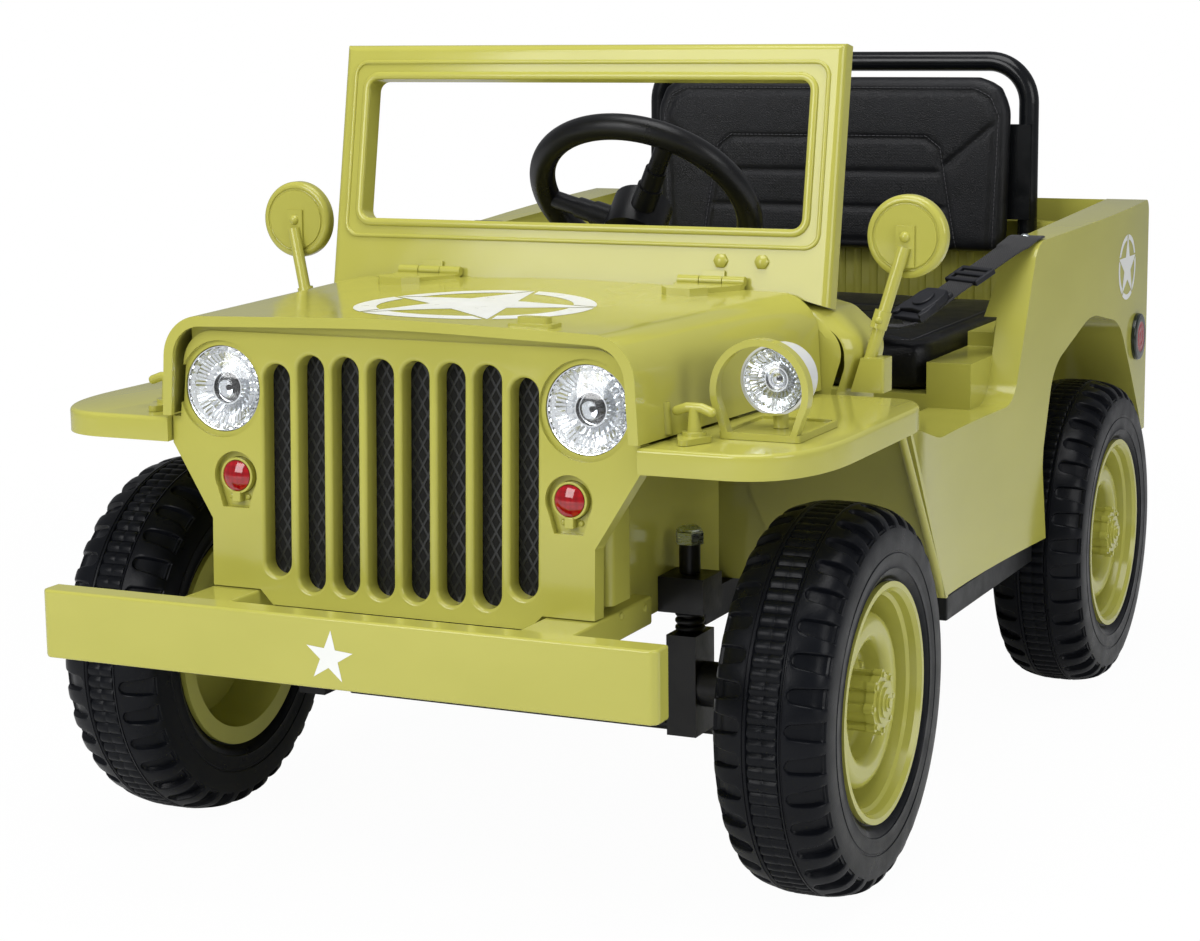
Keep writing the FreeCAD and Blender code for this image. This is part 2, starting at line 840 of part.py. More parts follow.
def make_hood():
    wall = float(dim.hood_wall)
    front, rear = float(dim.hood_front), float(dim.hood_rear)
    outer = Part.makeLoft([
        hood_section(front, dim.hood_front_half, 0),
        hood_section(rear, dim.hood_rear_half, 0),
    ], True, True)
    inner = Part.makeLoft([
        hood_section(front + wall, dim.hood_front_half, wall),
        hood_section(rear - wall, dim.hood_rear_half, wall),
    ], True, True)
    below = inner.copy()
    below.translate(V(0, 0, -wall))
    opening = Part.Face(hood_section(front - 1, dim.hood_front_half, float(dim.hood_lip)))
    mouth = opening.extrude(V(0, wall + 2, 0))
    shell = outer.cut(inner).cut(below).cut(mouth)
    mouth.translate(V(0, 0, -float(dim.hood_lip)))
    shell = shell.cut(mouth)
    catch_y = front + 7
    x = float(dim.catch_x)
    height = float(dim.hood_top)
    base = round_pad(x, catch_y, 16, 18, 3, height - 5, height - 0.5)
    knob = round_pad(x, catch_y + 4, 11, 10, 3, height - 5, height + 3.5)
    bars = []
    for sign in (1, -1):
        side_x = sign * (float(dim.hood_front_half) + 3)
        bars.append(ball_rod(V(side_x, float(dim.hook_y), float(dim.hood_low) + 2),
                             V(side_x - sign * 1.5, float(dim.hook_y), float(dim.hood_low) + 23), 3.5))
    shell = shell.fuse(hinge_leaves() + bars + [base, knob]).cut(inner).removeSplitter()
    return keep(feature("Hood", shell), "hood")


# Front wings with a folded band and the sloping apron behind the wheel
def fender_outline(inset):
    """Plan outline of the left wing, drawn smaller by an inset."""
    front, rear = float(dim.fender_front) + inset, float(dim.fender_rear)
    half = float(dim.fender_half) - inset
    inner_front = float(dim.hood_front_half) - float(dim.fender_tuck) + inset
    inner_rear = inner_front + float(dim.hood_rear_half - dim.hood_front_half)
    corner_x = float(dim.fender_corner_x)
    corner_y = float(dim.fender_corner_y)
    start = V(half - corner_x, front, 0)
    end = V(half, front + corner_y, 0)
    poles = [start, V(half - corner_x * 0.3, front, 0), V(half, front + corner_y * 0.4, 0), end]
    bend = Part.BezierCurve()
    bend.setPoles(poles)
    tail_x = half - float(dim.fender_tail_x)
    tail_y = rear - float(dim.fender_tail_y)
    tail = Part.BezierCurve()
    tail.setPoles([V(half, tail_y, 0), V(half - 2, rear - 14, 0), V(tail_x + 12, rear, 0), V(tail_x, rear, 0)])
    edges = [
        Part.LineSegment(V(inner_front, front, 0), start).toShape(),
        bend.toShape(),
        Part.LineSegment(end, V(half, tail_y, 0)).toShape(),
        tail.toShape(),
        Part.LineSegment(V(tail_x, rear, 0), V(inner_rear, rear, 0)).toShape(),
        Part.LineSegment(V(inner_rear, rear, 0), V(inner_front, front, 0)).toShape(),
    ]
    return Part.Face(Part.Wire(edges))


def apron_line(offset):
    """Two points of the slope behind the front wheel, moved rearwards by an offset."""
    run = float(dim.tub_front_low - dim.tub_front_top)
    slope = run / float(dim.scuttle_line - dim.tub_low)
    above = float(dim.fender_top - dim.scuttle_line) * slope
    top = (float(dim.tub_front_top) - above + offset, float(dim.fender_top))
    low = (float(dim.tub_front_low) + offset, float(dim.tub_low))
    return top, low


def make_fender(name, sign, tub):
    top = float(dim.fender_top)
    band = float(dim.fender_band)
    skin = float(dim.fender_skin)
    gap = float(dim.fit_gap)
    outer = fender_outline(0)
    outer.translate(V(0, 0, top - band))
    slab = outer.extrude(V(0, 0, band))
    beside_hood = float(dim.hood_rear_half)
    rim = [e for e in slab.Edges if e.BoundBox.ZMin > top - 1e-3 and e.BoundBox.XMax > beside_hood]
    end = float(dim.fender_rear) - 1e-3
    rim = [e for e in rim if e.BoundBox.YMax < end or e.BoundBox.XMin > float(dim.cowl_half)]
    slab = slab.makeFillet(float(dim.fender_edge), rim)
    hollow = fender_outline(skin)
    hollow.translate(V(0, 0, top - band - 1))
    slab = slab.cut(hollow.extrude(V(0, 0, band - skin + 1)))
    thick = float(dim.apron_thickness)
    (y_top, z_top), (y_low, z_low) = apron_line(-thick - gap)
    corners = [(y_top, z_top), (y_low, z_low), (y_low + thick, z_low), (y_top + thick, z_top)]
    sheet_face = flat_face(corners, "YZ")
    apron = sheet_face.extrude(V(float(dim.fender_half), 0, 0))
    inner = float(dim.bay_half + gap)
    limit = flat_face([
        (inner, z_low - 1),
        (float(dim.apron_foot_half), z_low - 1),
        (float(dim.side_front_half), z_top),
        (inner, z_top),
    ], "XZ")
    limit.translate(V(0, y_top - 1, 0))
    apron = apron.common(limit.extrude(V(0, y_low - y_top + thick + 2, 0)))
    bead = float(dim.apron_bead)
    edge_top = V(float(dim.side_front_half) - bead / 2, y_top, z_top - band)
    edge_low = V(float(dim.apron_foot_half) - bead / 2, y_low, z_low + bead / 2)
    apron = apron.fuse([ball_rod(edge_top, edge_low, bead / 2), Part.makeSphere(bead / 2, edge_low)])
    wing = slab.fuse(apron)
    around = tub.copy()
    around.translate(V(0, 0, gap))
    behind = tub.copy()
    behind.translate(V(0, -gap, 0))
    wing = wing.cut([around, behind]).removeSplitter()
    wing = max(wing.Solids, key=lambda solid: solid.Volume)
    if sign < 0:
        wing = mirrored(wing)
    return keep(feature("Fender" + name, wing), "fender_" + name)


# Cowl behind the bonnet, which also carries the windshield and the dashboard
def cowl_section(inset, drop=0.0):
    """Cross-section of the cowl, bulging past the bonnet at its sides and crowned under the windshield."""
    half = float(dim.cowl_half) - inset
    top = float(dim.cowl_top) - drop
    foot = float(dim.cowl_foot_half) - inset
    edge = float(dim.cowl_top_half) - inset
    crown = (float(dim.screen_shoulder_half), top + float(dim.screen_crown), 40)
    left = [
        (foot, float(dim.cowl_low)),
        (foot, float(dim.fender_top), 4),
        (half, float(dim.cowl_bulge_z), 22),
        (edge, top, 18),
        crown,
    ]
    return left + [(-corner[0], *corner[1:]) for corner in reversed(left)]


def cowl_block(inset):
    """The cowl's outside, its front edge rolled in to meet the bonnet's sides."""
    front = float(dim.cowl_front)
    back = front + float(dim.cowl_depth)
    roll = float(dim.cowl_roll)
    wires = []
    for share in (0.03, 0.1, 0.22, 0.4, 0.65, 1):
        tuck = roll * (1 - math.sqrt(1 - (1 - share) ** 2))
        wire = flat_face(cowl_section(inset + tuck, inset), "XZ").OuterWire
        wire.translate(V(0, front + roll * share, 0))
        wires.append(wire)
    nose = Part.makeLoft(wires, True, True)
    body = prism(cowl_section(inset, inset), "XZ", front + roll, back)
    return nose.fuse(body).removeSplitter()


def make_cowl(tub):
    front = float(dim.cowl_front)
    back = front + float(dim.cowl_depth)
    wall = float(dim.cowl_wall)
    block_shape = cowl_block(0)
    roll = float(dim.cowl_roll)
    steps = ((roll * 0.6, wall, wall + 5), (roll * 0.23, wall, roll + 1), (0, roll, back - front - wall))
    cavity = fuse_all([prism(cowl_section(wall + tuck, wall), "XZ", front + start, front + end)
                       for tuck, start, end in steps])
    lower = cavity.copy()
    lower.translate(V(0, 0, -wall))
    shell = block_shape.cut([cavity, lower])
    around = tub.copy()
    around.translate(V(0, 0, float(dim.fit_gap)))
    shell = shell.cut(around)
    half = float(dim.footwell_half)
    low = float(dim.cowl_low)
    depth = float(dim.cowl_depth)
    knee_room = Part.makeBox(2 * half, depth + 1, float(dim.dash_low) - low, V(-half, front + wall, low))
    shell = shell.cut(knee_room)
    hole = Part.makeCylinder(float(dim.column_radius) + 7.6, 300, V(0, 0, -250))
    shell = shell.cut(steering_frame(hole)).removeSplitter()
    shell = max(shell.Solids, key=lambda solid: solid.Volume)
    return keep(feature("Cowl", shell), "cowl")


def make_screen():
    """The upright windshield frame: round-edged border, recessed field and a bead round the opening."""
    body = doc.addObject("PartDesign::Body", "WindshieldFrame")
    plane = origin_plane(body, "XZ_Plane")
    rise = 1 / math.cos(math.radians(float(dim.screen_lean)))
    half = dim.screen_half
    tall = (dim.screen_top - dim.screen_low) * rise
    lift = dim.screen_crown
    shoulder = dim.screen_shoulder_half
    outline = sketch_on(body, plane, "ScreenOutline")
    polygon(outline, [
        (-half, 0 * tall),
        (-half, tall),
        (half, tall),
        (half, 0 * tall),
        (shoulder, lift),
        (-shoulder, lift),
    ])
    pad = body.newObject("PartDesign::Pad", "ScreenPad")
    pad.Profile = outline
    bind(pad, "Length", dim.screen_depth)
    pad.Reversed = True
    doc.recompute()
    border = []
    for i, edge in enumerate(pad.Shape.Edges, start=1):
        box = edge.BoundBox
        in_front = box.YMax < 1e-3 and box.YLength < 1e-3
        if in_front and (box.ZMin > float(tall) - 1e-3 or box.XLength < 1e-3):
            border.append(f"Edge{i}")
    rounding = body.newObject("PartDesign::Fillet", "ScreenBorder")
    rounding.Base = (pad, border)
    bind(rounding, "Radius", dim.screen_round)
    doc.recompute()
    low = (dim.screen_opening_low - dim.screen_low) * rise
    high = (dim.screen_opening_top - dim.screen_low) * rise
    open_half = dim.screen_opening_half
    bead = dim.screen_bead
    field = dim.screen_field
    recess = sketch_on(body, plane, "ScreenField")
    rings = ((bead, dim.screen_corner + bead), (bead + field, dim.screen_corner))
    for out, corner in rings:
        rounded_box(recess, open_half + out, low - out, high + out, corner)
    hollow = body.newObject("PartDesign::Pocket", "ScreenFieldCut")
    hollow.Profile = recess
    bind(hollow, "Length", dim.screen_field_depth)
    hollow.Reversed = True
    doc.recompute()
    opening = sketch_on(body, plane, "ScreenOpening")
    rounded_box(opening, open_half, low, high, dim.screen_corner)
    pocket = body.newObject("PartDesign::Pocket", "ScreenCut")
    pocket.Profile = opening
    pocket.Type = 1
    pocket.Midplane = True
    body.Tip = pocket
    doc.recompute()
    lean = FreeCAD.Rotation(V(1, 0, 0), -float(dim.screen_lean))
    body.Placement = FreeCAD.Placement(V(0, 0, 0), lean)
    bind(body, "Placement.Base.y", dim.screen_low_y)
    bind(body, "Placement.Base.z", dim.screen_low)
    doc.recompute()
    bolts = []
    for x in (dim.screen_bolt_x, dim.screen_bolt_x + dim.screen_bolt_pitch):
        bolts.append(hex_bolt(float(x), (float(dim.screen_bolt_z) - float(dim.screen_low)) * rise))
    return keep(fuse("WindshieldWithBolts", body, *bolts), "windshield_frame")


def hex_bolt(x, up):
    """A domed hexagon head on the windshield's face."""
    radius = float(dim.screen_bolt_radius)
    head = prism(hexagon(radius), "XZ", -radius * 0.8, 0.5)
    head = head.common(Part.makeSphere(radius * 1.15, V(0, radius * 0.35, 0)))
    head.translate(V(x, 0, up))
    head.rotate(V(0, 0, 0), V(1, 0, 0), -float(dim.screen_lean))
    head.translate(V(0, float(dim.screen_low_y), float(dim.screen_low)))
    return feature("ScreenBolt", head)


# Tub: side walls, floor, seat pan and rear wall in one moulding
def side_line():
    """Plan curve of the tub's left side, flaring out to meet the wing."""
    stations = [
        (float(dim.tub_front_top), float(dim.side_front_half)),
        (float(dim.tub_front_low) - 40, float(dim.side_waist_half) + 2),
        (float(dim.tub_front_low) + 10, float(dim.side_waist_half)),
        (float(dim.wall_front), float(dim.side_mid_half)),
        (float(dim.rear_end), float(dim.side_rear_half)),
    ]
    curve = Part.BSplineCurve()
    curve.interpolate([V(x, y, 0) for y, x in stations])
    return curve.toShape()


def side_reach(y):
    """How far out the tub's side lies at one station."""
    across = Part.LineSegment(V(0, float(y), 0), V(2 * float(dim.side_front_half), float(y), 0)).toShape()
    return across.distToShape(side_line())[1][0][0].x


def plan_face():
    """The tub seen from above."""
    left = side_line()
    right = left.mirror(V(0, 0, 0), V(1, 0, 0))
    front = float(dim.side_front_half)
    rear = float(dim.side_rear_half)
    y0, y1 = float(dim.tub_front_top), float(dim.rear_end)
    head = Part.LineSegment(V(-front, y0, 0), V(front, y0, 0)).toShape()
    tail = Part.LineSegment(V(-rear, y1, 0), V(rear, y1, 0)).toShape()
    return Part.Face(Part.Wire(Part.sortEdges([head, left, tail, right])[0]))


def arch_points():
    """Outline of the rear wheel arch in the side skin."""
    axle = float(dim.front_axle_y + dim.wheelbase)
    return [
        (axle - 142, float(dim.tub_low) - 1),
        (axle - 154, 225, 60),
        (axle - 130, 300, 45),
        (axle - 35, float(dim.rear_arch_top) + 8, 75),
        (axle + 50, float(dim.rear_arch_top) - 8, 60),
        (float(dim.rear_end) - 12, float(dim.tub_tail_low) - 1),
        (float(dim.rear_end) - 12, float(dim.tub_low) - 1),
    ]


def make_tub():
    low = float(dim.tub_low)
    rear = float(dim.rear_end)
    profile = [
        (float(dim.tub_front_top), float(dim.scuttle_line)),
        (float(dim.tub_front_low), low),
        (float(dim.tub_front_low) + 270, low),
        (float(dim.tub_front_low) + 330, float(dim.tub_tail_low)),
        (rear, float(dim.tub_tail_low)),
        (rear, float(dim.wall_top_rear), 12),
        (float(dim.wall_front), float(dim.wall_top_front), 24),
        (float(dim.wall_front_foot), float(dim.sill_line), 30),
        (float(dim.tub_front_low) - 20, float(dim.sill_line), 90),
        (float(dim.tub_front_top) + 45, float(dim.scuttle_line) - 18, 60),
    ]
    reach = float(dim.side_front_half) + 20
    side = prism(profile, "YZ", -reach, reach)
    plan = plan_face()
    plan.translate(V(0, 0, low - 1))
    tub = side.common(plan.extrude(V(0, 0, 300)))
    top = float(dim.wall_top_rear) + 30
    pan_front = float(dim.seat_pan_front)
    ledge = float(dim.ledge_half)
    sill = float(dim.sill_line)
    ledges = Part.makeBox(2 * ledge, float(dim.wall_front) - pan_front, float(dim.ledge_top) - sill + 5,
                          V(-ledge, pan_front, sill - 5))
    step = float(dim.ledge_step_top)
    room = Part.makeBox(2 * ledge, float(dim.ledge_step_rear) - pan_front, 30, V(-ledge, pan_front, step))
    tub = tub.fuse(ledges).cut(room)
    footwell = prism([
        (float(dim.tub_front_top) + 22, top),
        (float(dim.tub_front_top) + 22, float(dim.scuttle_line)),
        (float(dim.tub_front_low) + 8, float(dim.footwell_floor), 12),
        (pan_front, float(dim.footwell_floor), 8),
        (pan_front, top),
    ], "YZ", -float(dim.footwell_half), float(dim.footwell_half))
    tub = tub.cut(footwell)
    well_low = float(dim.well_half_low)
    well_top = float(dim.well_half_top)
    pan = float(dim.seat_pan)
    wall_top = float(dim.wall_top_front)

    ledge_top = float(dim.ledge_top)
    seat_half = float(dim.seat_well_half)

    def well(y0, y1, floor):
        """A load space that widens above the wheel ledges."""
        return prism([
            (-seat_half, floor),
            (seat_half, floor),
            (seat_half, ledge_top),
            (well_low, ledge_top),
            (well_top, wall_top),
            (well_top, top),
            (-well_top, top),
            (-well_top, wall_top),
            (-well_low, ledge_top),
            (-seat_half, ledge_top),
        ], "XZ", y0, y1)

    bulkhead = float(dim.seat_bulkhead)
    tub = tub.cut(well(pan_front - 1, bulkhead, pan))
    behind = bulkhead + float(dim.bulkhead_thickness)
    tub = tub.cut(well(behind, rear - float(dim.rear_wall), float(dim.cargo_floor)))
    shelf = float(dim.bulkhead_top)
    well = Part.makeBox(2 * well_top, behind - bulkhead + 2, top - shelf, V(-well_top, bulkhead - 1, shelf))
    tub = tub.cut(well)
    arch = flat_face(arch_points(), "YZ")
    inner = float(dim.arch_inner_x)
    for sign in (1, -1):
        face = arch.copy()
        face.translate(V(sign * inner, 0, 0))
        tub = tub.cut(face.extrude(V(sign * 100, 0, 0)))
    under = float(dim.under_half)
    pan_wall = float(dim.pan_thickness)
    belly = prism([
        (pan_front + pan_wall, low - 1),
        (pan_front + pan_wall, pan - pan_wall),
        (rear - float(dim.rear_wall), pan - pan_wall),
        (rear - float(dim.rear_wall), low - 1),
    ], "YZ", -under, under)
    tub = tub.cut(belly).removeSplitter()
    keep(feature("Tub", tub), "tub")
    return tub


# Engine bay walls inside the wings, a floor below and the battery that stands on it
def make_engine_bay():
    half = float(dim.bay_half)
    wall = float(dim.bay_wall)
    low = float(dim.bay_low)
    top = float(dim.fender_top) - float(dim.fender_band) - float(dim.fit_gap)
    front = float(dim.bay_front)
    rear = float(dim.bay_rear)
    outer = Part.makeBox(2 * half, rear - front, top - low, V(-half, front, low))
    inner = Part.makeBox(2 * (half - wall), rear - front - wall + 1, top - low,
                         V(-half + wall, front - 1, low + wall))
    room = float(dim.beam_half) + 3
    window = Part.makeBox(2 * half + 2, 2 * room, float(dim.beam_height) + 3,
                          V(-half - 1, float(dim.front_axle_y) - room, low + wall))
    bay = outer.cut([inner, window])
    shelf = float(dim.bay_ledge)
    ledges = []
    for sign in (1, -1):
        x0 = half if sign > 0 else -shelf
        ledges.append(Part.makeBox(shelf - half, rear - front, 3, V(x0, front, top - 3)))
    bulge = float(dim.bay_bulge)
    nose_low = float(dim.grille_low) + 5
    nose_height = float(dim.fender_top - dim.fender_band) - nose_low - 3
    for sign in (1, -1):
        x0 = half - 1 if sign > 0 else -half - bulge
        nose = Part.makeBox(bulge + 1, float(dim.bay_bulge_length), nose_height, V(x0, front, nose_low))
        upright = [e for e in nose.Edges if e.BoundBox.ZLength > 10 and abs(e.CenterOfMass.x) > half]
        ledges.append(nose.makeFillet(bulge * 0.375, upright))
    bay = bay.fuse(ledges).removeSplitter()
    return keep(feature("EngineBay", bay), "engine_bay")


def make_battery():
    half = dim.battery_length / 2
    low = dim.bay_low + dim.bay_wall + dim.fit_gap
    box = block("Battery", (-half, half), (dim.battery_y, dim.battery_y + dim.battery_width),
                (low, low + dim.battery_height))
    return keep(box, "battery")


# Bumper, hollow from behind, on the two horns that reach back beside the engine bay
def make_bumper():
    body = doc.addObject("PartDesign::Body", "Bumper")
    base = sketch_on(body, origin_plane(body, "XZ_Plane"), "BumperFace")
    half, low = dim.bumper_half, dim.bumper_low
    top = low + dim.bumper_height
    polygon(base, [(-half, low), (-half, top), (half, top), (half, low)])
    pad = body.newObject("PartDesign::Pad", "BumperPad")
    pad.Profile = base
    bind(pad, "Length", dim.bumper_depth)
    pad.Reversed = True
    doc.recompute()
    names = []
    for i, edge in enumerate(pad.Shape.Edges, start=1):
        if abs(edge.BoundBox.YMax) < 1e-3 and edge.BoundBox.XLength < 1e-3:
            names.append(f"Edge{i}")
    chamfer = body.newObject("PartDesign::Chamfer", "BumperEnds")
    chamfer.Base = (pad, names)
    bind(chamfer, "Size", dim.bumper_chamfer)
    body.Tip = chamfer
    doc.recompute()
    back = body.newObject("Sketcher::SketchObject", "BumperBack")
    back.AttachmentSupport = [(origin_plane(body, "XZ_Plane"), "")]
    back.MapMode = "FlatFace"
    bind(back, "AttachmentOffset.Base.z", -dim.bumper_depth)
    wall = dim.bumper_wall
    polygon(back, [
        (-half + wall, low + wall),
        (-half + wall, top - wall),
        (half - wall, top - wall),
        (half - wall, low + wall),
    ])
    doc.recompute()
    pocket = body.newObject("PartDesign::Pocket", "BumperHollow")
    pocket.Profile = back
    pocket.Reversed = False
    bind(pocket, "Length", dim.bumper_depth - wall)
    before = chamfer.Shape.Volume
    doc.recompute()
    if pocket.Shape.Volume > before * 0.9:
        pocket.Reversed = True
        doc.recompute()
    body.Tip = pocket
    bind(body, "Placement.Base.y", dim.front_end)
    pieces = [body]
    for side, sign in SIDES.items():
        arm_x = (dim.horn_inner * sign, dim.horn_outer * sign)[::sign]
        arm_y = (dim.front_end + dim.bumper_wall - 1, dim.bay_front - dim.fit_gap)
        pieces.append(block("HornArm_" + side, arm_x, arm_y, (dim.horn_low, dim.horn_top)))
        cheek_x = ((dim.bay_half + dim.fit_gap) * sign, dim.horn_outer * sign)[::sign]
        pieces.append(block("HornCheek_" + side, cheek_x, (dim.bay_front - dim.fit_gap - 1, dim.horn_rear),
                            (dim.horn_low, dim.horn_top)))
    return keep(fuse("BumperWithHorns", *pieces), "bumper")


# Two rails, stepped down under the floor, with their cross members
def make_chassis():
    gap = dim.fit_gap
    low = dim.rail_low
    top = dim.rail_low + dim.rail_height
    front_top = dim.bay_low - gap
    slope_foot = dim.tub_front_low - (front_top - dim.tub_low) * 0.88 - gap
    rails = []
    for side, sign in SIDES.items():
        x = (dim.rail_x * sign, (dim.rail_x + dim.rail_width) * sign)[::sign]
        rails.append(block("RailRear_" + side, x, (dim.rail_step, dim.rail_rear), (low, top)))
        rails.append(block("RailFront_" + side, x, (dim.rail_front, slope_foot),
                           (front_top - dim.rail_height, front_top)))
        rails.append(block("RailStep_" + side, x, (dim.rail_step, slope_foot), (low, front_top)))
    reach = dim.rail_x + dim.rail_width / 2
    for i, y in enumerate((dim.tub_front_low + 60, dim.rail_rear - 40)):
        rails.append(block(f"CrossMember_{i}", (-reach, reach), (y, y + dim.rail_width), (low, top)))
    for i, y in enumerate((dim.rail_front + 20, dim.rail_step - 60)):
        rails.append(block(f"FrontMember_{i}", (-reach, reach), (y, y + dim.rail_width),
                           (front_top - dim.rail_height, front_top)))
    frame = fuse("LadderFrame", *rails)
    hole_start = (-reach * 2, dim.front_axle_y + dim.wheelbase, dim.tyre_radius)
    axle = rod("FrameAxleHole", dim.stub_radius + gap, hole_start, reach * 4, "X")
    return keep(cut("ChassisFrame", frame, axle), "chassis_frame")


# Fender lamp on the car's left wing, with its hoop guard
def make_fender_lamp():
    radius = float(dim.side_lamp_radius)
    centre = V(float(dim.side_lamp_x), float(dim.side_lamp_y), float(dim.side_lamp_z))
    depth = float(dim.side_lamp_depth)
    back = V(0, 1, 0)
    drum = Part.makeCylinder(radius + 1.5, depth, centre, back)
    rear = [e for e in drum.Edges if abs(e.BoundBox.YMin - centre.y - depth) < 1e-4]
    drum = drum.makeFillet(8, rear)
    cup = Part.makeCone(radius, radius * 0.5, depth * 0.6, centre, back)
    gap = float(dim.fit_gap)
    top = float(dim.fender_top) + gap
    tray_top = top + float(dim.tray_rim)
    stem_foot = V(centre.x, centre.y + depth / 2, tray_top + gap)
    stem = Part.makeCylinder(5, centre.z - radius + 4 - stem_foot.z, stem_foot)
    keep(feature("FenderLamp", drum.cut(cup).fuse(stem).removeSplitter()), "fender_lamp")
    lens = domed_lens(radius - gap, 6, 1.6, 0, 0)
    lens.translate(centre + V(0, -gap, 0))
    keep(feature("FenderLampLens", lens), "fender_lamp_lens")
    guard = make_guard_arch(tray_top - 1)
    half = float(dim.guard_foot) / 2 + 3
    front = float(dim.guard_y)
    pad = float(dim.guard_pad)
    rim = float(dim.tray_rim)
    tray = round_pad(0, front, half, pad, rim + 0.5, top, tray_top + 2)
    dish = round_pad(0, front + rim, half - rim, pad - 2 * rim, 2, tray_top, tray_top + 3)
    tray = tray.cut(dish).fuse(guard).removeSplitter()
    tray.translate(V(centre.x, 0, 0))
    return keep(feature("LampGuard", tray), "lamp_guard")


def make_guard_arch(foot):
    """A flat strap bent over the lamp, its legs closing in towards the tray."""
    bar = float(dim.guard_bar)
    radius = float(dim.guard_width) / 2
    heart = float(dim.guard_top) - radius
    strap = float(dim.guard_strap)
    front = float(dim.guard_y)
    bands = []
    for inset, low in ((0, foot), (bar, foot - 1)):
        reach = radius - inset
        foot_half = float(dim.guard_foot) / 2 - inset
        ring = Part.makeCylinder(reach, strap + 2 * inset, V(0, front - inset, heart), V(0, 1, 0))
        knee = (reach * 0.985, heart - reach * 0.17)
        leg_line = [(-foot_half, low), (foot_half, low), knee, (-knee[0], knee[1])]
        bands.append(ring.fuse(prism(leg_line, "XZ", front - inset, front + strap + inset)))
    corner = V(-2 * radius, front - strap / 2, foot - 2 * radius)
    below = Part.makeBox(4 * radius, 2 * strap, 2 * radius, corner)
    return bands[0].cut([bands[1], below])


# Spring hooks on the wings that hold the bonnet, and the bonnet's hinges and catch
def make_hood_hooks():
    """A lozenge foot, a stepped boss and a tapered post with a drooping cross bar."""
    hooks = []
    for sign in (1, -1):
        x = float(dim.hook_x) * sign
        y = float(dim.hook_y)
        top = float(dim.fender_top) + float(dim.fit_gap)
        foot = prism([(x - 12, y, 6), (x, y - 27, 4), (x + 12, y, 6), (x, y + 27, 4)], "XY", top, top + 4)
        boss = Part.makeCylinder(8, 6.5, V(x, y, top))
        post = Part.makeCone(5, 3.4, 20, V(x, y, top + 2))
        bar = Part.makeCylinder(3.2, 10, V(x - 5, y, top + 22), V(1, 0, 0))
        parts = [boss, post, bar]
        for way in (-1, 1):
            start = V(x + way * 5, y, top + 22)
            parts.append(ball_rod(start, start + V(way * 7, 0, -2.6), 3.2))
            parts.append(Part.makeSphere(3.2, start))
            parts.append(Part.makeSphere(3.2, start + V(way * 7, 0, -2.6)))
        hooks.append(foot.fuse(parts).removeSplitter())
    return keep(feature("HoodHooks", Part.makeCompound(hooks)), "hood_hooks")


def hinge_leaves():
    """The bonnet's halves of its two hinges: two knuckles, a tapered arm and its bolted pad."""
    moving = []
    pin_y, pin_z = float(dim.hinge_y), float(dim.hinge_z)
    length = float(dim.hinge_leaf)
    roof = float(dim.hood_top)
    for sign in (1, -1):
        x = float(dim.hinge_x) * sign
        for edge in (-1, 1):
            start = x + 9.5 if edge > 0 else x - 9.5 - 17
            moving.append(Part.makeCylinder(3.4, 17, V(start, pin_y, pin_z), V(1, 0, 0)))
        arm = prism([
            (x - 26.5, pin_y - 1),
            (x + 26.5, pin_y - 1),
            (x + 26.5, pin_y - 9),
            (x + 8, pin_y - length + 18),
            (x - 8, pin_y - length + 18),
            (x - 26.5, pin_y - 9),
        ], "XY", roof - 5, roof + 0.4)
        arm = arm.cut(Part.makeBox(19.6, 8, 12, V(x - 9.8, pin_y - 4.4, roof - 6)))
        pad = prism([
            (x - 18, pin_y - length + 12),
            (x - 9, pin_y - length + 24),
            (x + 9, pin_y - length + 24),
            (x + 18, pin_y - length + 12),
            (x + 9, pin_y - length),
            (x - 9, pin_y - length),
        ], "XY", roof - 5, roof + 2.6)
        moving += [arm, pad]
    return moving


def make_hinge_mounts():
    """The fixed halves, standing on the windshield's front."""
    fixed = []
    lean = float(dim.screen_lean)
    base = V(0, float(dim.screen_low_y), float(dim.screen_low))
    for sign in (1, -1):
        x = float(dim.hinge_x) * sign
        barrel = Part.makeCylinder(3.4, 18, V(x - 9, float(dim.hinge_y), float(dim.hinge_z)), V(1, 0, 0))
        plate = Part.makeBox(18, 2.2, 12, V(x - 9, -2.2 - float(dim.fit_gap), 12))
        plate.rotate(V(0, 0, 0), V(1, 0, 0), -lean)
        plate.translate(base)
        fixed.append(barrel.fuse(plate).removeSplitter())
    return keep(feature("HingeFixed", Part.makeCompound(fixed)), "hood_hinge_mounts")


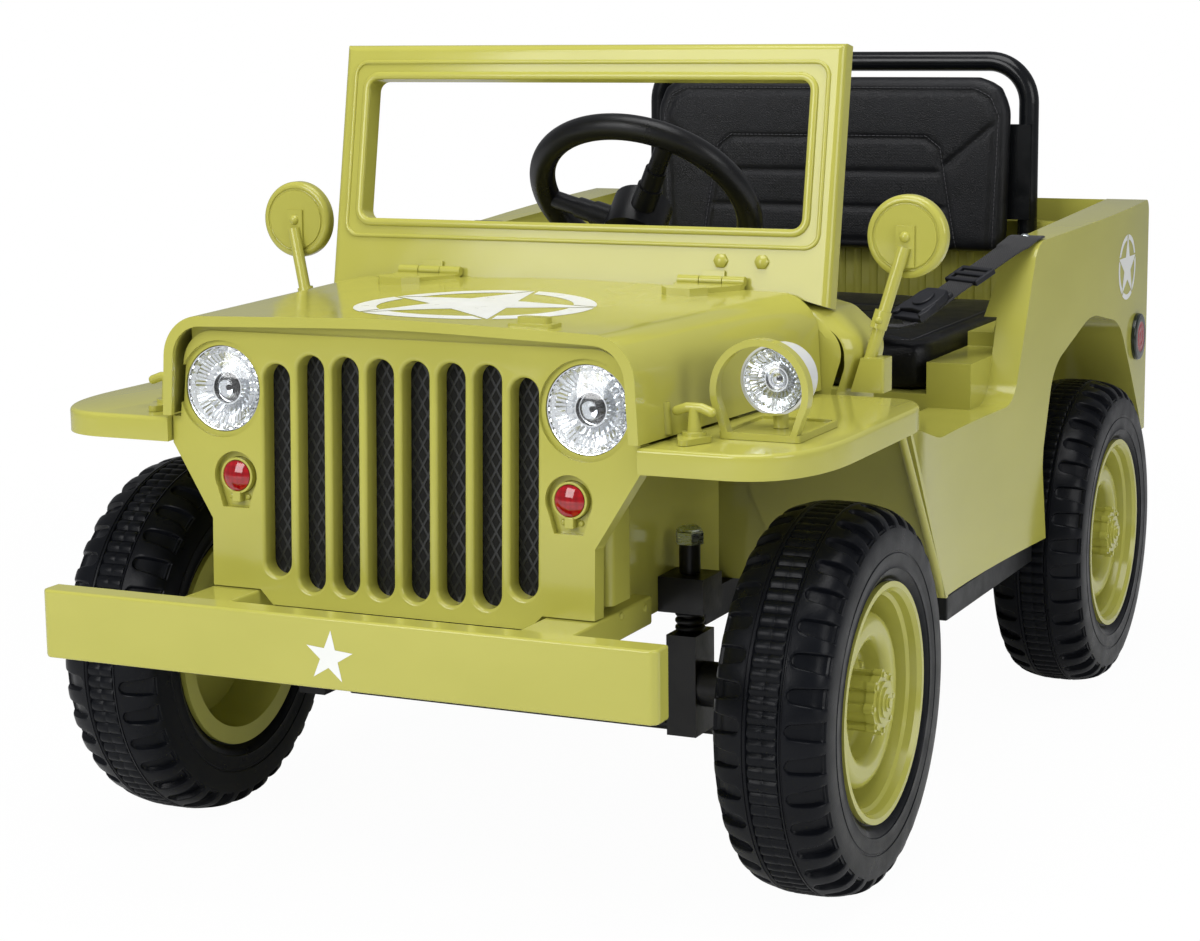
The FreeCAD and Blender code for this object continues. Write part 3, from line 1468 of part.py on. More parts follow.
# Round mirrors on their arms and foot blocks
def make_mirror(name, sign):
    centre = V(float(dim.mirror_x), float(dim.mirror_y), float(dim.mirror_z))
    radius = float(dim.mirror_radius)
    disc = Part.makeCylinder(radius, 9, centre, V(0, 1, 0))
    front = [e for e in disc.Edges if abs(e.BoundBox.YMax - centre.y) < 1e-4]
    disc = disc.makeFillet(4, front)
    groove = Part.makeTorus(radius - 6, 1.2, centre, V(0, 1, 0))
    back = Part.makeCylinder(radius - 2.5, 2, centre + V(0, 8, 0), V(0, 1, 0))
    disc = disc.cut([groove, back])
    plate = Part.makeBox(14, 2.5, 30, V(centre.x - 7, centre.y - 2, centre.z - 22))
    screw = Part.makeSphere(4, centre + V(0, -1.5, 0))
    foot_top = V(float(dim.mirror_foot_x), centre.y - float(dim.mirror_reach), float(dim.mirror_foot_top))
    head = centre + V(0, -3.5, -7)
    arm = ball_rod(foot_top - V(0, 0, 4), head, 4.6)
    run = head - foot_top
    collar = ball_rod(foot_top + run * 0.26, foot_top + run * 0.42, 6.2)
    collar_screw = Part.makeSphere(3, foot_top + run * 0.34 - V(0, 5, 0))
    half = float(dim.mirror_foot_half)
    low = float(dim.fender_top) + float(dim.fit_gap)
    depth = float(dim.mirror_foot_depth)
    y = foot_top.y - depth / 2
    foot = round_pad(foot_top.x, y, half, depth, 2, low, foot_top.z)
    foot = foot.cut(prism(cowl_section(-float(dim.fit_gap)), "XZ", float(dim.cowl_front) - 20, 0))
    mirror = disc.fuse([plate, screw, arm, collar, collar_screw, foot]).removeSplitter()
    if sign < 0:
        mirror = mirrored(mirror)
    return keep(feature("Mirror" + name, mirror), "mirror_" + name)


# Steering wheel with its hub, three spokes and column
def steering_frame(shape):
    """Lean a shape drawn round the Z axis so that Z becomes the column's upper end."""
    shape.rotate(V(0, 0, 0), V(1, 0, 0), -float(dim.steer_lean))
    shape.translate(V(0, float(dim.steer_y), float(dim.steer_z)))
    return shape


def make_steering():
    ring = Part.makeTorus(float(dim.steer_radius), float(dim.steer_tube))
    hub_radius = float(dim.hub_radius)
    drop = float(dim.hub_drop)
    hub = Part.makeCylinder(hub_radius, 34, V(0, 0, -drop - 17))
    spokes = []
    for angle in (60, 180, 300):
        turn = math.radians(angle)
        out = V(math.cos(turn), math.sin(turn), 0)
        inner = out * (hub_radius - 6) - V(0, 0, drop)
        outer = out * (float(dim.steer_radius) - 2)
        spokes.append(ball_rod(inner, outer, 7.2))
        spokes.append(ball_rod(inner, inner + (outer - inner) * 0.32, 10))
        spokes.append(ball_rod(inner, inner + (outer - inner) * 0.56, 8.6))
    length = float(dim.column_length)
    column = Part.makeCylinder(float(dim.column_radius), length, V(0, 0, -drop - 16 - length))
    wheel = hub.fuse(spokes + [ring, column]).removeSplitter()
    return keep(feature("SteeringWheel", steering_frame(wheel)), "steering_wheel")


def make_dashboard():
    """Sloping dash under the windshield, with the collar that carries the column."""
    back = float(dim.cowl_front) + float(dim.cowl_depth) + float(dim.fit_gap)
    half = float(dim.dash_half)
    points = [
        (back, float(dim.cowl_top) - 6),
        (back + 12, float(dim.cowl_top) - 10, 5),
        (back + 22, float(dim.dash_low), 6),
        (back, float(dim.dash_low)),
    ]
    dash = prism(points, "YZ", -half, half)
    collar = Part.makeCylinder(float(dim.column_radius) + 7, 40, V(0, 0, -126))
    bore = Part.makeCylinder(float(dim.column_radius) + 0.8, 300, V(0, 0, -250))
    dash = dash.fuse(steering_frame(collar)).cut(steering_frame(bore)).removeSplitter()
    return keep(feature("Dashboard", dash), "dashboard")


# Roll hoop and its seat plates
def make_hoop():
    half = float(dim.hoop_half)
    top = float(dim.hoop_top)
    bend = float(dim.hoop_bend)
    foot = float(dim.seat_pan) + float(dim.fit_gap)
    y = float(dim.hoop_y)
    corner = bend * (1 - math.cos(math.pi / 4))
    edges = [
        Part.LineSegment(V(-half, y, foot), V(-half, y, top - bend)).toShape(),
        Part.Arc(V(-half, y, top - bend), V(corner - half, y, top - corner),
                 V(bend - half, y, top)).toShape(),
        Part.LineSegment(V(-half + bend, y, top), V(half - bend, y, top)).toShape(),
        Part.Arc(V(half - bend, y, top), V(half - corner, y, top - corner),
                 V(half, y, top - bend)).toShape(),
        Part.LineSegment(V(half, y, top - bend), V(half, y, foot)).toShape(),
    ]
    path = Part.Wire(edges)
    section = Part.Wire(Part.makeCircle(float(dim.hoop_tube), V(-half, y, foot), V(0, 0, 1)))
    tube = path.makePipeShell([section], True, True)
    plates = []
    front = y - float(dim.hoop_tube) - 3
    for sign in (1, -1):
        inner = float(dim.back_half) - 14
        x0 = inner if sign > 0 else -half - 5
        plates.append(Part.makeBox(half + 5 - inner, 7, float(dim.plate_height),
                                   V(x0, front, float(dim.plate_low))))
    frame = tube.fuse(plates).removeSplitter()
    return keep(feature("RollHoop", frame), "roll_hoop")


# Seat cushions and belt
def make_seat():
    half = dim.cushion_half
    front, rear = float(dim.cushion_front), float(dim.cushion_rear)
    low = float(dim.seat_pan) + float(dim.fit_gap)
    top = float(dim.seat_pan + dim.cushion_thickness)
    cushion = prism([
        (front, low, 8),
        (rear, low),
        (rear, top - 6, 8),
        (front, top, 18),
    ], "YZ", -float(half), float(half))
    keep(feature("SeatCushion", cushion), "seat_cushion")
    back_low, back_top = float(dim.back_low), float(dim.back_top)
    back_half = float(dim.back_half)
    y = float(dim.hoop_y - dim.hoop_tube - 3 - dim.fit_gap - dim.back_thickness)
    back = prism([
        (-back_half + 8, back_low, 14),
        (back_half - 8, back_low, 14),
        (back_half, back_top, 30),
        (-back_half, back_top, 30),
    ], "XZ", y, y + float(dim.back_thickness))
    return keep(feature("SeatBack", back), "seat_back")


# Black sills under the tub's sides
def make_sills():
    sills = []
    for side, sign in SIDES.items():
        inner, outer = dim.sill_inner * sign, dim.sill_outer * sign
        low_x, high_x = (inner, outer) if sign > 0 else (outer, inner)
        front = dim.tub_front_low + dim.sill_setback
        top = dim.tub_low - dim.fit_gap
        sills.append(block("Sill_" + side, (low_x, high_x), (front, front + dim.sill_length),
                           (top - dim.sill_height, top)))
    return keep(gather("Sills", *sills), "sills")


# Round reflectors on the tub's sides
def make_reflectors():
    radius = float(dim.reflector_radius)
    y = float(dim.reflector_y)
    ahead = side_reach(y - radius)
    behind = side_reach(y + radius)
    turn = math.degrees(math.atan2(behind - ahead, 2 * radius))
    thick = float(dim.reflector_proud)
    disc = Part.makeCylinder(radius, thick, V(0, 0, 0), V(1, 0, 0))
    rim = [e for e in disc.Edges if abs(e.BoundBox.XMin - thick) < 1e-4]
    disc = disc.makeFillet(thick / 2, rim)
    disc.rotate(V(0, 0, 0), V(0, 0, 1), -turn)
    reach = max(side_reach(y), (ahead + behind) / 2)
    disc.translate(V(reach + float(dim.fit_gap), y, float(dim.reflector_z)))
    both = [disc, mirrored(disc)]
    return keep(feature("SideReflectors", Part.makeCompound(both)), "side_reflectors")


# Front axle beam, kingpins, springs and knuckles
def make_front_axle():
    y = dim.front_axle_y
    reach = dim.kingpin_x
    half = dim.axle_block_half
    floor = dim.bay_low + dim.bay_wall + dim.fit_gap
    beam = block("AxleBeam", (-reach, reach), (y - dim.beam_half, y + dim.beam_half),
                 (floor, floor + dim.beam_height))
    blocks = [beam]
    for side, sign in SIDES.items():
        centre = reach * sign
        blocks.append(block("AxleBlock_" + side, (centre - half, centre + half), (y - half, y + half),
                            (dim.axle_block_low, dim.axle_block_top)))
    solid = fuse("AxleSolid", *blocks)
    holes = []
    for side, sign in SIDES.items():
        holes.append(rod("PinHole_" + side, dim.kingpin_radius + dim.fit_gap,
                         (reach * sign, y, dim.axle_block_low - 10), 60))
    holes_joined = fuse("PinHoles", *holes)
    return keep(cut("FrontAxle", solid, holes_joined), "front_axle_beam")


def make_knuckle(name, sign):
    x = float(dim.kingpin_x)
    y = float(dim.front_axle_y)
    top = float(dim.knuckle_top)
    low = float(dim.knuckle_low)
    radius = float(dim.kingpin_radius)
    nut_z = float(dim.axle_block_top) + float(dim.stem_height)
    body = Part.makeBox(22, 34, top - low, V(x - 11, y - 17, low))
    pin = Part.makeCylinder(radius, nut_z + 12 - top, V(x, y, top))
    sleeve = Part.makeCylinder(7.5, float(dim.stem_height) - 1, V(x, y, float(dim.axle_block_top) + 1))
    nut = flat_face(hexagon(float(dim.stem_nut)), "XY")
    nut.translate(V(x, y, nut_z))
    nut = nut.extrude(V(0, 0, 9))
    axle_z = float(dim.tyre_radius)
    stub_end = float(dim.wheel_centre_x) + float(dim.stub_reach)
    stub = Part.makeCylinder(float(dim.stub_radius), stub_end - x, V(x, y, axle_z), V(1, 0, 0))
    flange = Part.makeCylinder(16, float(dim.stub_flange), V(x + 11, y, axle_z), V(1, 0, 0))
    arm = Part.makeBox(14, float(dim.steer_arm), 8, V(x - 7, y, low + 4))
    boss = Part.makeCylinder(11, 8, V(x, y + float(dim.steer_arm), low + 4))
    knuckle = body.fuse([pin, sleeve, nut, stub, flange, arm, boss])
    eye_foot = V(x, y + float(dim.steer_arm), low - 10)
    eye = Part.makeCylinder(float(dim.rod_pin) + float(dim.rod_slack), 40, eye_foot)
    knuckle = knuckle.cut(eye).removeSplitter()
    if sign < 0:
        knuckle = mirrored(knuckle)
    return keep(feature("Knuckle" + name, knuckle), "knuckle_" + name)


def make_springs():
    coils = []
    x, y = float(dim.kingpin_x), float(dim.front_axle_y)
    low = float(dim.knuckle_top) + float(dim.fit_gap)
    height = float(dim.axle_block_low) - float(dim.fit_gap) - low
    for sign in (1, -1):
        rings = [Part.makeCylinder(7.4, height, V(x * sign, y, low))]
        for i in range(3):
            z = low + height * (i + 0.5) / 3
            rings.append(Part.makeTorus(8.4, 2.2, V(x * sign, y, z)))
        coil = rings[0].fuse(rings[1:])
        bore = float(dim.kingpin_radius) + float(dim.fit_gap)
        coil = coil.cut(Part.makeCylinder(bore, height + 2, V(x * sign, y, low - 1)))
        coils.append(coil.removeSplitter())
    return keep(feature("CoilSprings", Part.makeCompound(coils)), "coil_springs")


def make_tie_rod():
    x = float(dim.kingpin_x)
    y = float(dim.front_axle_y + dim.steer_arm)
    z = float(dim.knuckle_low) - float(dim.rod_drop)
    radius = float(dim.rod_pin)
    bar = Part.makeCylinder(radius, 2 * x, V(-x, y, z), V(1, 0, 0))
    pins = []
    head = float(dim.rod_drop) + 12 + float(dim.fit_gap)
    for sign in (1, -1):
        pins.append(Part.makeCylinder(radius, head + 1, V(x * sign, y, z)))
        pins.append(Part.makeCylinder(radius + 6, 3, V(x * sign, y, z + head)))
    return keep(feature("TieRod", bar.fuse(pins).removeSplitter()), "tie_rod")


# Rear axle bar and its two gearboxes
def make_rear_axle():
    y = dim.front_axle_y + dim.wheelbase
    reach = dim.wheel_centre_x + dim.stub_reach
    bar = rod("RearAxle", dim.stub_radius, (-reach, y, dim.tyre_radius), reach * 2, "X")
    keep(bar, "rear_axle")
    boxes = []
    for sign in (1, -1):
        x0 = float(dim.gearbox_inner)
        width = float(dim.gearbox_outer) - x0
        yc = float(y)
        zc = float(dim.tyre_radius)
        along = V(1, 0, 0)
        drum = Part.makeCylinder(float(dim.gearbox_radius), width, V(x0, yc, zc), along)
        motor_start = V(x0 - 24, yc - 50, zc + 10)
        motor = Part.makeCylinder(float(dim.gearbox_radius) * 0.62, width + 24, motor_start, along)
        web = Part.makeBox(width, 52, 40, V(x0, yc - 52, zc - 16))
        boxed = drum.fuse([motor, web])
        bore = float(dim.stub_radius) + float(dim.fit_gap)
        boxed = boxed.cut(Part.makeCylinder(bore, 400, V(0, yc, zc), along))
        boxed = boxed.removeSplitter()
        boxes.append(boxed if sign > 0 else mirrored(boxed))
    return keep(feature("Gearboxes", Part.makeCompound(boxes)), "gearboxes")


# Wheels: a dished rim with a ring-shaped swell and a bolted hub, and a lugged tyre on it
def rim_profile():
    """Half section of the rim: distance outwards along the axle, then radius."""
    bore = float(dim.axle_bore)
    edge = float(dim.rim_radius)
    seat = float(dim.rim_seat_radius)
    face = float(dim.tyre_half_width)
    plate = float(dim.hub_plate)
    barrel = float(dim.hub_barrel_radius)
    stub_end = float(dim.stub_reach) + 2
    return [
        (-30, bore),
        (stub_end, bore),
        (stub_end, 0),
        (plate, 0),
        (plate, barrel),
        (10, barrel),
        (10, 31),
        (8, 33),
        (8, 37, 4),
        (27, 41.5, 8),
        (27, 60, 8),
        (8, 63, 3),
        (8, 69, 3),
        (28, 73),
        (30, 75.5),
        (face - 3, 76.5),
        (face, edge - 4),
        (face, edge),
        (face - 4, edge),
        (face - 4, seat),
        (-face + 4, seat),
        (-face + 4, edge),
        (-face, edge),
        (-face, 70),
        (0, 64),
        (0, 20),
        (-30, 18),
    ]


def hub_end():
    """Ribs along the barrel, the lobed end plate and the stepped cap, drawn along the axle."""
    plate = float(dim.hub_plate)
    face = float(dim.hub_face)
    circle_radius = float(dim.hub_lobe_circle)
    lobe = float(dim.hub_lobe_radius)
    along = V(1, 0, 0)
    parts = [Part.makeCylinder(circle_radius, face - plate, V(plate, 0, 0), along)]
    for i in range(8):
        turn = 360 / 8 * i
        rib = Part.makeBox(plate - 9, 5.4, 4, V(9, -2.7, float(dim.hub_barrel_radius) - 1.4))
        end = Part.makeCylinder(lobe, face - plate, V(plate, 0, circle_radius), along)
        bolt = Part.makeCylinder(1.9, 1.8, V(face - 0.4, 0, circle_radius), along)
        for piece in (rib, end, bolt):
            piece.rotate(V(0, 0, 0), along, turn)
            parts.append(piece)
    for radius, reach in ((14.5, 2), (10.5, 3.6), (6, 4.8), (3.4, 6)):
        parts.append(Part.makeCylinder(radius, reach, V(face - 0.1, 0, 0), along))
    return parts


def tyre_side():
    """One side of the tyre's section: bead, wall, foot of the lugs and edge of the middle band."""
    edge = float(dim.rim_radius)
    half = float(dim.tyre_half_width)
    bulge = half + float(dim.tyre_bulge)
    lip = half - float(dim.bead_inset) - float(dim.fit_gap)
    bead = (lip, edge + float(dim.bead_gap))
    wall = (bulge, edge + float(dim.wall_bulge_at))
    foot = (bulge, float(dim.tread_edge_radius) - float(dim.lug_drop))
    band = (float(dim.tread_band_half), float(dim.tyre_radius))
    return [bead, wall, foot, band]


def section_at(points, turn):
    """A closed line through points of the half plane that is turned about the axle."""
    corners = [V(u, v, 0) for u, v in points]
    line = Part.makePolygon(corners + corners[:1])
    line.rotate(V(0, 0, 0), V(1, 0, 0), turn)
    return [vertex.Point for vertex in line.OrderedVertexes]


def bar_between(start, end, share):
    """A straight solid from one closed line towards another, over a share of the way."""
    reached = [a + (b - a) * share for a, b in zip(start, end)]
    outlines = [start, reached]
    for k in range(len(start)):
        outlines.append([start[k - 1], start[k], reached[k], reached[k - 1]])
    faces = [Part.Face(Part.makePolygon(line + line[:1])) for line in outlines]
    return Part.makeSolid(Part.makeShell(faces))


def make_tyre_shape():
    """A ring of flat bars, with a wedge-shaped lug on each shoulder of every bar."""
    count = round(float(dim.lug_count))
    pitch = 360 / count
    seat = float(dim.rim_seat_radius) + float(dim.fit_gap)
    side = tyre_side()
    lip = side[0][0]
    other = [(-u, v) for u, v in reversed(side)]
    body = [(-lip, seat), (lip, seat)] + side + other
    tip = (float(dim.tyre_half_width) - float(dim.lug_tip_inset), float(dim.tread_edge_radius))
    lug = [side[2], tip, side[3]]
    far_lug = [(-u, v) for u, v in lug]
    pieces = []
    for i in range(count):
        for points, share in ((body, 1), (lug, float(dim.lug_share)), (far_lug, float(dim.lug_share))):
            start = section_at(points, pitch * i)
            end = section_at(points, pitch * (i + 1))
            pieces.append(bar_between(start, end, share))
    return pieces[0].fuse(pieces[1:]).removeSplitter()


def spun(points):
    """Turn a half section about the axle, which is X."""
    face = flat_face(points, "XY")
    return face.revolve(V(0, 0, 0), V(1, 0, 0), 360)


def wheel_place(sign, y):
    """Where a wheel stands; the right-hand ones are turned round."""
    turn = NO_TURN if sign > 0 else FreeCAD.Rotation(V(0, 0, 1), 180)
    return FreeCAD.Placement(V(sign * float(dim.wheel_centre_x), float(y), float(dim.tyre_radius)), turn)


def make_wheels():
    rim = spun(rim_profile()).fuse(hub_end()).removeSplitter()
    tyre = make_tyre_shape()
    front = dim.front_axle_y
    rear = dim.front_axle_y + dim.wheelbase
    for end, y in (("front", front), ("rear", rear)):
        for side, sign in SIDES.items():
            place = wheel_place(sign, y)
            for kind, shape in (("rim", rim), ("tyre", tyre)):
                obj = feature(f"{kind.title()}{end.title()}{side.title()}", shape)
                obj.Placement = place
                keep(obj, f"{kind}_{end}_{side}")


# Seat belt from wall to wall over the cushion, with its buckle and slider
def make_belt():
    """A lap belt from wall top to wall top, dipping forward to its buckle and over the cushion."""
    half_width = float(dim.belt_width) / 2
    thick = float(dim.belt_thickness)
    gap = float(dim.fit_gap)
    lap_y = float(dim.belt_y)
    fall = 6 * (lap_y - half_width - float(dim.cushion_front)) / float(dim.cushion_rear - dim.cushion_front)
    lap_z = float(dim.seat_pan + dim.cushion_thickness) - fall + gap + thick / 2
    wall_y = float(dim.wall_front)
    wall_z = float(dim.wall_top_front) + thick / 2 + gap
    x = float(dim.belt_anchor_x)
    dip = V(float(dim.belt_buckle_x), float(dim.belt_buckle_y), float(dim.belt_buckle_z))
    half_line = [
        V(x, wall_y + 24, wall_z + 1.4),
        V(x, wall_y + 12, wall_z + 0.9),
        V(x - 5, wall_y - 10, wall_z - 6),
        dip + V(24, 38, 24),
        dip,
        V(dip.x - 38, lap_y - 12, lap_z + 2.5),
        V(dip.x - 80, lap_y, lap_z),
    ]
    line = half_line + [V(-point.x, point.y, point.z) for point in reversed(half_line)]
    wires = []
    for i, point in enumerate(line):
        run = (line[min(i + 1, len(line) - 1)] - line[max(i - 1, 0)]).normalize()
        across = V(0, 0, 1).cross(run).normalize()
        over = run.cross(across).normalize() * (thick / 2)
        wide = across * half_width
        corners = [point - wide - over, point + wide - over, point + wide + over, point - wide + over]
        wires.append(Part.makePolygon(corners + corners[:1]))
    strap = Part.makeLoft(wires, True, True)
    keep(feature("SeatBelt", strap), "seat_belt")
    run = (half_line[3] - dip).normalize()
    side = V(0, 0, 1).cross(run).normalize()
    up = run.cross(side).normalize()
    if up.z < 0:
        up = -up
    buckle = prism([(-21, -17, 6), (21, -17, 6), (25, 0, 6), (21, 17, 6), (-21, 17, 6)], "XY", 0, 11)
    place = FreeCAD.Matrix(run.x, side.x, up.x, 0, run.y, side.y, up.y, 0, run.z, side.z, up.z, 0, 0, 0, 0, 1)
    buckle = buckle.transformGeometry(place)
    buckle.translate(dip + run * 27 + up * (thick / 2))
    for rise in (-gap, gap / 2, gap * 2):
        room = strap.copy()
        room.translate(up * rise)
        buckle = max(buckle.cut(room).Solids, key=lambda solid: solid.Volume)
    return keep(feature("BeltBuckle", buckle), "belt_buckle")


make_grille_panel()
make_grille_mesh()
make_headlamps()
make_marker_lamps()
tub_shape = make_tub()
for side_name, side_sign in SIDES.items():
    make_fender(side_name, side_sign, tub_shape)
make_cowl(tub_shape)
make_screen()
make_hood()
make_engine_bay()
make_battery()
make_bumper()
make_chassis()
make_fender_lamp()
make_hood_hooks()
make_hinge_mounts()
for side_name, side_sign in SIDES.items():
    make_mirror(side_name, side_sign)
make_steering()
make_dashboard()
make_hoop()
make_seat()
make_sills()
make_reflectors()
make_front_axle()
for side_name, side_sign in SIDES.items():
    make_knuckle(side_name, side_sign)
make_springs()
make_tie_rod()
make_rear_axle()
make_wheels()
make_belt()

doc.recompute()
for obj in doc.Objects:
    if "Invalid" in obj.State or "Error" in obj.State:
        raise RuntimeError(f"{obj.Label} did not build: {obj.State}")
for part in sub_parts:
    if part.Shape.isNull() or not part.Shape.isValid():
        raise RuntimeError(f"{part.Label} has no valid shape")
os.makedirs("parts", exist_ok=True)
for part in sub_parts:
    part.Shape.exportStep(f"parts/{part.Label}.step")
    print(part.Label, len(part.Shape.Solids), round(part.Shape.Volume), part.Shape.BoundBox)
print(len(sub_parts), "sub-parts")
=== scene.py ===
import math

import bmesh
import bpy
from mathutils import Euler, Matrix, Vector
from mathutils.bvhtree import BVHTree


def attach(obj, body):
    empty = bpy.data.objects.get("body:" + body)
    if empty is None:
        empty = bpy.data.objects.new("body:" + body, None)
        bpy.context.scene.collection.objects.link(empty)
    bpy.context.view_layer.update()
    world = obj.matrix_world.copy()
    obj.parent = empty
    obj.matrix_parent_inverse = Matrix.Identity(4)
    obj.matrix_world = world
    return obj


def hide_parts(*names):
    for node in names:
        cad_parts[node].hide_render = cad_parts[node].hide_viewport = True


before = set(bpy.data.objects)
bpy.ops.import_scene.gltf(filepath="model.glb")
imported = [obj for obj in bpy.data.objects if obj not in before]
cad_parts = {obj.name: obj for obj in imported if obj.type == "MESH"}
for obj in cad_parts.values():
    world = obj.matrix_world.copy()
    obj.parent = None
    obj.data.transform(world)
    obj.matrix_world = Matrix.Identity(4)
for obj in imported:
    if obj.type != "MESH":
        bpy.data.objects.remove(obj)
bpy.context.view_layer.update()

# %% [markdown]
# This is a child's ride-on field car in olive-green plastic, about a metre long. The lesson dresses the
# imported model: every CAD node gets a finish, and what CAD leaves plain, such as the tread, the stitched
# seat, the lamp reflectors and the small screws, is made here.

MM = 0.001
SIDES = (("left", 1), ("right", -1))

# %% [markdown]
# The photograph was taken with a long lens from the front left, a little above the bonnet. The camera's
# place, its turn and the lens were worked out from points whose real places are known, such as the hub
# centres, so the render and the photo can be laid over each other. The small shift moves the picture's
# middle to where the photo was cropped.

# %% The camera
PHOTO_SIZE = (1200, 941)
LENS_PIXELS = 2624.6
PHOTO_CENTRE = (605.63, 451.14)
CAMERA_PLACE = (0.8547, -1.9215, 0.6063)
YAW, PITCH, ROLL = math.radians(25.021), math.radians(9.702), math.radians(-0.6526)
SENSOR = 36


def linked(name, data):
    """A new object in the scene."""
    piece = bpy.data.objects.new(name, data)
    bpy.context.scene.collection.objects.link(piece)
    return piece


camera = linked("camera", bpy.data.cameras.new("camera"))
turn = Euler((math.pi / 2 - PITCH, 0, YAW)).to_matrix() @ Matrix.Rotation(ROLL, 3, "Z")
camera.matrix_world = Matrix.Translation(CAMERA_PLACE) @ turn.to_4x4()
camera.data.sensor_width = SENSOR
camera.data.lens = LENS_PIXELS * SENSOR / PHOTO_SIZE[0]
camera.data.shift_x = (PHOTO_SIZE[0] / 2 - PHOTO_CENTRE[0]) / PHOTO_SIZE[0]
camera.data.shift_y = (PHOTO_CENTRE[1] - PHOTO_SIZE[1] / 2) / PHOTO_SIZE[0]
bpy.context.scene.camera = camera
print("lens", round(camera.data.lens, 2), "mm")

# %% [markdown]
# A finish is a small network of shader nodes. A few helpers keep the networks short to read: one starts a
# material with its plain numbers set on the shader itself, one adds a node and links or sets its sockets,
# and the rest make the patterns that every finish uses. Patterns read Object coordinates, which are
# metres on the car, so a grain has its real size.

# %% Helpers for the finishes


def new_finish(name, colour, roughness, **sockets):
    """A material whose plain values sit on the Principled shader; returns it, its tree and the shader."""
    finish = bpy.data.materials.new(name)
    finish.use_nodes = True
    tree = finish.node_tree
    shader = tree.nodes["Principled BSDF"]
    values = {"Base Color": (*colour, 1), "Roughness": roughness}
    values.update({key.replace("_", " "): value for key, value in sockets.items()})
    for key, value in values.items():
        shader.inputs[key].default_value = value
    return finish, tree, shader


def add_node(tree, kind, sockets=None, **settings):
    """A node with its settings, and sockets that are either linked or given a value."""
    node = tree.nodes.new(kind)
    for key, value in settings.items():
        setattr(node, key, value)
    for key, value in (sockets or {}).items():
        if isinstance(value, bpy.types.NodeSocket):
            tree.links.new(value, node.inputs[key])
        else:
            node.inputs[key].default_value = value
    return node


def maths(tree, operation, *values):
    """The result of a Math node."""
    return add_node(tree, "ShaderNodeMath", dict(enumerate(values)), operation=operation).outputs[0]


def own_place(tree):
    """The piece's Object coordinates, in metres."""
    return add_node(tree, "ShaderNodeTexCoord").outputs["Object"]


def grain(tree, scale, detail=2.0, stretch=(1, 1, 1)):
    """Noise in the piece's own coordinates, as a value from 0 to 1."""
    mapped = add_node(tree, "ShaderNodeMapping", {"Vector": own_place(tree), "Scale": stretch}).outputs[0]
    return add_node(tree, "ShaderNodeTexNoise", {"Vector": mapped, "Scale": scale, "Detail": detail}).outputs[0]


def spread(tree, value, low, high, start=0.3, end=0.7):
    """Stretch a value from start..end to low..high."""
    sockets = {"Value": value, "From Min": start, "From Max": end, "To Min": low, "To Max": high}
    return add_node(tree, "ShaderNodeMapRange", sockets).outputs[0]


def two_tone(tree, value, first, second):
    """A colour between two, by a value."""
    ramp = add_node(tree, "ShaderNodeValToRGB", {"Fac": value})
    for stop, colour in zip(ramp.color_ramp.elements, (first, second)):
        stop.color = (*colour, 1)
    return ramp.outputs[0]


def steer(tree, shader, colour=None, rough=None):
    """Let patterns set the shader's colour and roughness."""
    for key, value in (("Base Color", colour), ("Roughness", rough)):
        if value is not None:
            tree.links.new(value, shader.inputs[key])


def bumped(tree, shader, height, strength, distance):
    """Let a height pattern tilt the shader's normal."""
    bump = add_node(tree, "ShaderNodeBump", {"Height": height, "Strength": strength, "Distance": distance})
    tree.links.new(bump.outputs[0], shader.inputs["Normal"])


print("helpers ready")

# %% [markdown]
# Nearly the whole body is olive polypropylene, coloured right through and moulded in polished tools. It
# is satin to glossy, with a faint waviness where the wall thickness changes, flow marks a few centimetres
# long, and a very fine grain. Two close greens are mixed by slow noise, the roughness drifts with
# another, and the bump adds the grain. The wheels are the same plastic from another batch.

# %% The green plastic
OLIVE = (0.450, 0.432, 0.086)


def green_plastic(name, light, deep, polish):
    finish, tree, shader = new_finish(name, light, polish, Specular_IOR_Level=0.42)
    drift = spread(tree, grain(tree, 7, 3, (1, 1, 2)), 0, 1)
    flow = spread(tree, grain(tree, 34, 2, (1, 0.4, 1)), polish - 0.03, polish + 0.04)
    steer(tree, shader, two_tone(tree, drift, deep, light), flow)
    wave, fine = grain(tree, 9, 0), grain(tree, 1500, 2)
    bumped(tree, shader, maths(tree, "MULTIPLY_ADD", fine, 0.01, wave), 0.12, 0.0016)
    return finish


olive = green_plastic("olive plastic", OLIVE, (0.415, 0.400, 0.074), 0.12)
wheel_olive = green_plastic("wheel plastic", (0.450, 0.440, 0.090), (0.410, 0.400, 0.076), 0.15)
print("green finishes:", olive.name, wheel_olive.name)

# %% [markdown]
# The dark pieces differ in shine and grain. The tyres are blown hard plastic with a soft sheen, the
# steering wheel and the dash have a moulded leather grain, the roll hoop and the axle parts are painted
# steel, and the nuts are zinc plated. One function makes the plastics, because only colour, shine and
# grain size change.

# %% The dark and metal finishes


def dark_plastic(name, colour, polish, grain_scale, depth, fleck=1.35, shine=0.27):
    finish, tree, shader = new_finish(name, colour, polish, Specular_IOR_Level=shine)
    patch = spread(tree, grain(tree, 20, 4), 0, 1)
    tone = two_tone(tree, patch, colour, [channel * fleck for channel in colour])
    steer(tree, shader, tone, spread(tree, grain(tree, 60, 3), polish - 0.05, polish + 0.08))
    bumped(tree, shader, grain(tree, grain_scale, 3), 0.5, depth)
    return finish


def metal(name, colour, polish):
    finish, tree, shader = new_finish(name, colour, polish, Metallic=1.0)
    brushed = grain(tree, 180, 4, (1, 1, 8))
    tone = two_tone(tree, grain(tree, 70, 5), [channel * 0.7 for channel in colour], colour)
    steer(tree, shader, tone, spread(tree, brushed, polish - 0.08, polish + 0.12))
    bumped(tree, shader, brushed, 0.15, 0.0003)
    return finish


